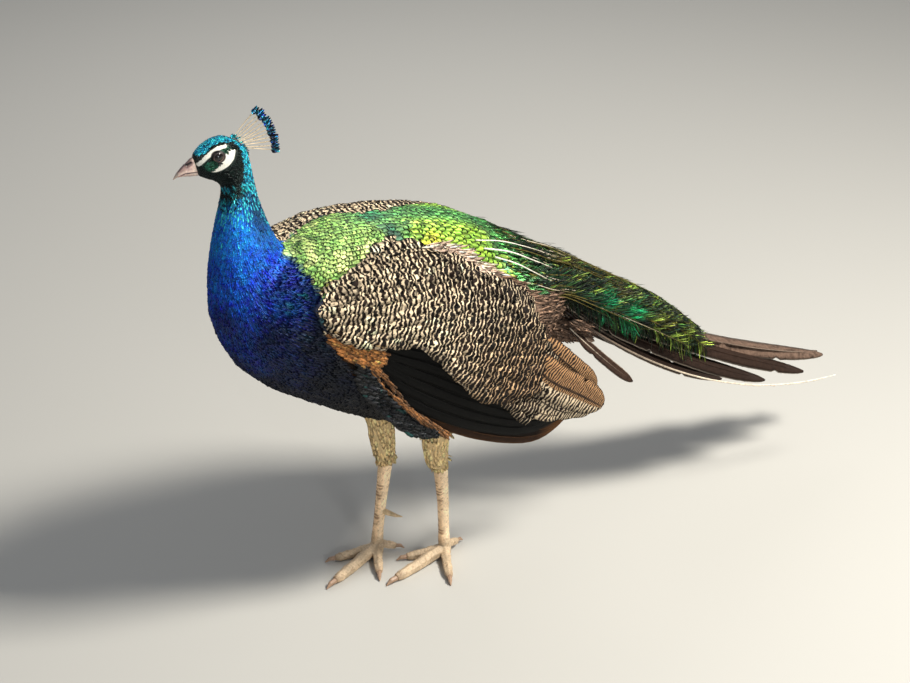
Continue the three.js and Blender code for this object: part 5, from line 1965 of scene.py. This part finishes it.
def make_thighs():
    tuft = feather_shape("tuft", leaf([0.5, 0.95, 0.9, 0.5], 0.9), camber=0.12)
    buff = plain_feathers("thigh feathers", 0.9, ribs=7)
    for name, side in SIDES.items():
        lay_coat("coat_thigh_" + name, thigh_roots(name), tuft, buff, ["thigh_" + name],
                 lift=2, ruffle=0.05, seed=61 + side, height=0.35)
    remove(tuft)


# ---- floor, light and camera

LIT = (-100, 0, 380)  # the point that the lights are aimed at
FLOOR_HALF = 6.0
CAMERA = {"azimuth": -28.0, "elevation": 30.0, "distance": 2.65, "target": (0.0, 0.0, 327.0), "pixels": 1961.0}
IMAGE_WIDTH = 910
SENSOR_MM = 36.0


def make_camera():
    azimuth, elevation = math.radians(CAMERA["azimuth"]), math.radians(CAMERA["elevation"])
    back = Vector((math.sin(azimuth) * math.cos(elevation), -math.cos(azimuth) * math.cos(elevation),
                   math.sin(elevation)))
    data = bpy.data.cameras.new("camera")
    data.sensor_width = SENSOR_MM
    data.lens = CAMERA["pixels"] / IMAGE_WIDTH * SENSOR_MM
    camera = bpy.data.objects.new("camera", data)
    camera.location = Vector(to_frame(CAMERA["target"])) + back * CAMERA["distance"]
    camera.rotation_euler = (-back).to_track_quat("-Z", "Y").to_euler()
    bpy.context.scene.camera = linked(camera)


def make_light(name, place, size, watts, tone=(1, 1, 1)):
    data = bpy.data.lights.new(name, "AREA")
    data.size = size
    data.energy = watts
    data.color = tone
    light = linked(bpy.data.objects.new(name, data))
    light.location = Vector(to_frame(place))
    light.rotation_euler = (Vector(to_frame(LIT)) - light.location).to_track_quat("-Z", "Y").to_euler()


def make_studio():
    """A pale floor, a soft sun high over the tail, two weak lamps and a sky that fills the shadows."""
    material, _, _ = surface("floor", 0.9, Base_Color=(*linear("floor"), 1))
    corners = [(x * FLOOR_HALF, y * FLOOR_HALF, 0) for x, y in ((-1, -1), (1, -1), (1, 1), (-1, 1))]
    mesh_object("floor", corners, [(0, 1, 2, 3)], material)
    make_light("sun", (1100, -900, 2300), 0.55, 105, tone=(1.0, 0.96, 0.88))
    make_light("fill", (-260, -2150, 900), 0.5, 12, tone=(0.92, 0.96, 1.0))
    make_light("rim", (600, 1900, 1700), 1.2, 10)
    world = bpy.data.worlds.new("sky")
    world.use_nodes = True
    background = world.node_tree.nodes["Background"]
    background.inputs["Color"].default_value = (0.86, 0.91, 1.0, 1)
    background.inputs["Strength"].default_value = 0.28
    bpy.context.scene.world = world
    bpy.context.scene.view_settings.view_transform = "Standard"


# ---- the bird

LAYING = laying_tree()
SKIN = make_skin()
SKIN_TREE = tree_of(SKIN)
thin_feathered(SKIN)
SKIN.data.materials.clear()
SKIN.data.materials.append(skin_material())
store_tint(SKIN.data, skin_tint(bird_points(SKIN)))
hand_over(SKIN, FLESH)
make_body_coat()
make_wings()
make_thighs()
make_train()
make_tail()
make_crest()
make_eyes()
make_bill()
make_legs()
make_studio()
make_camera()
bpy.context.view_layer.update()
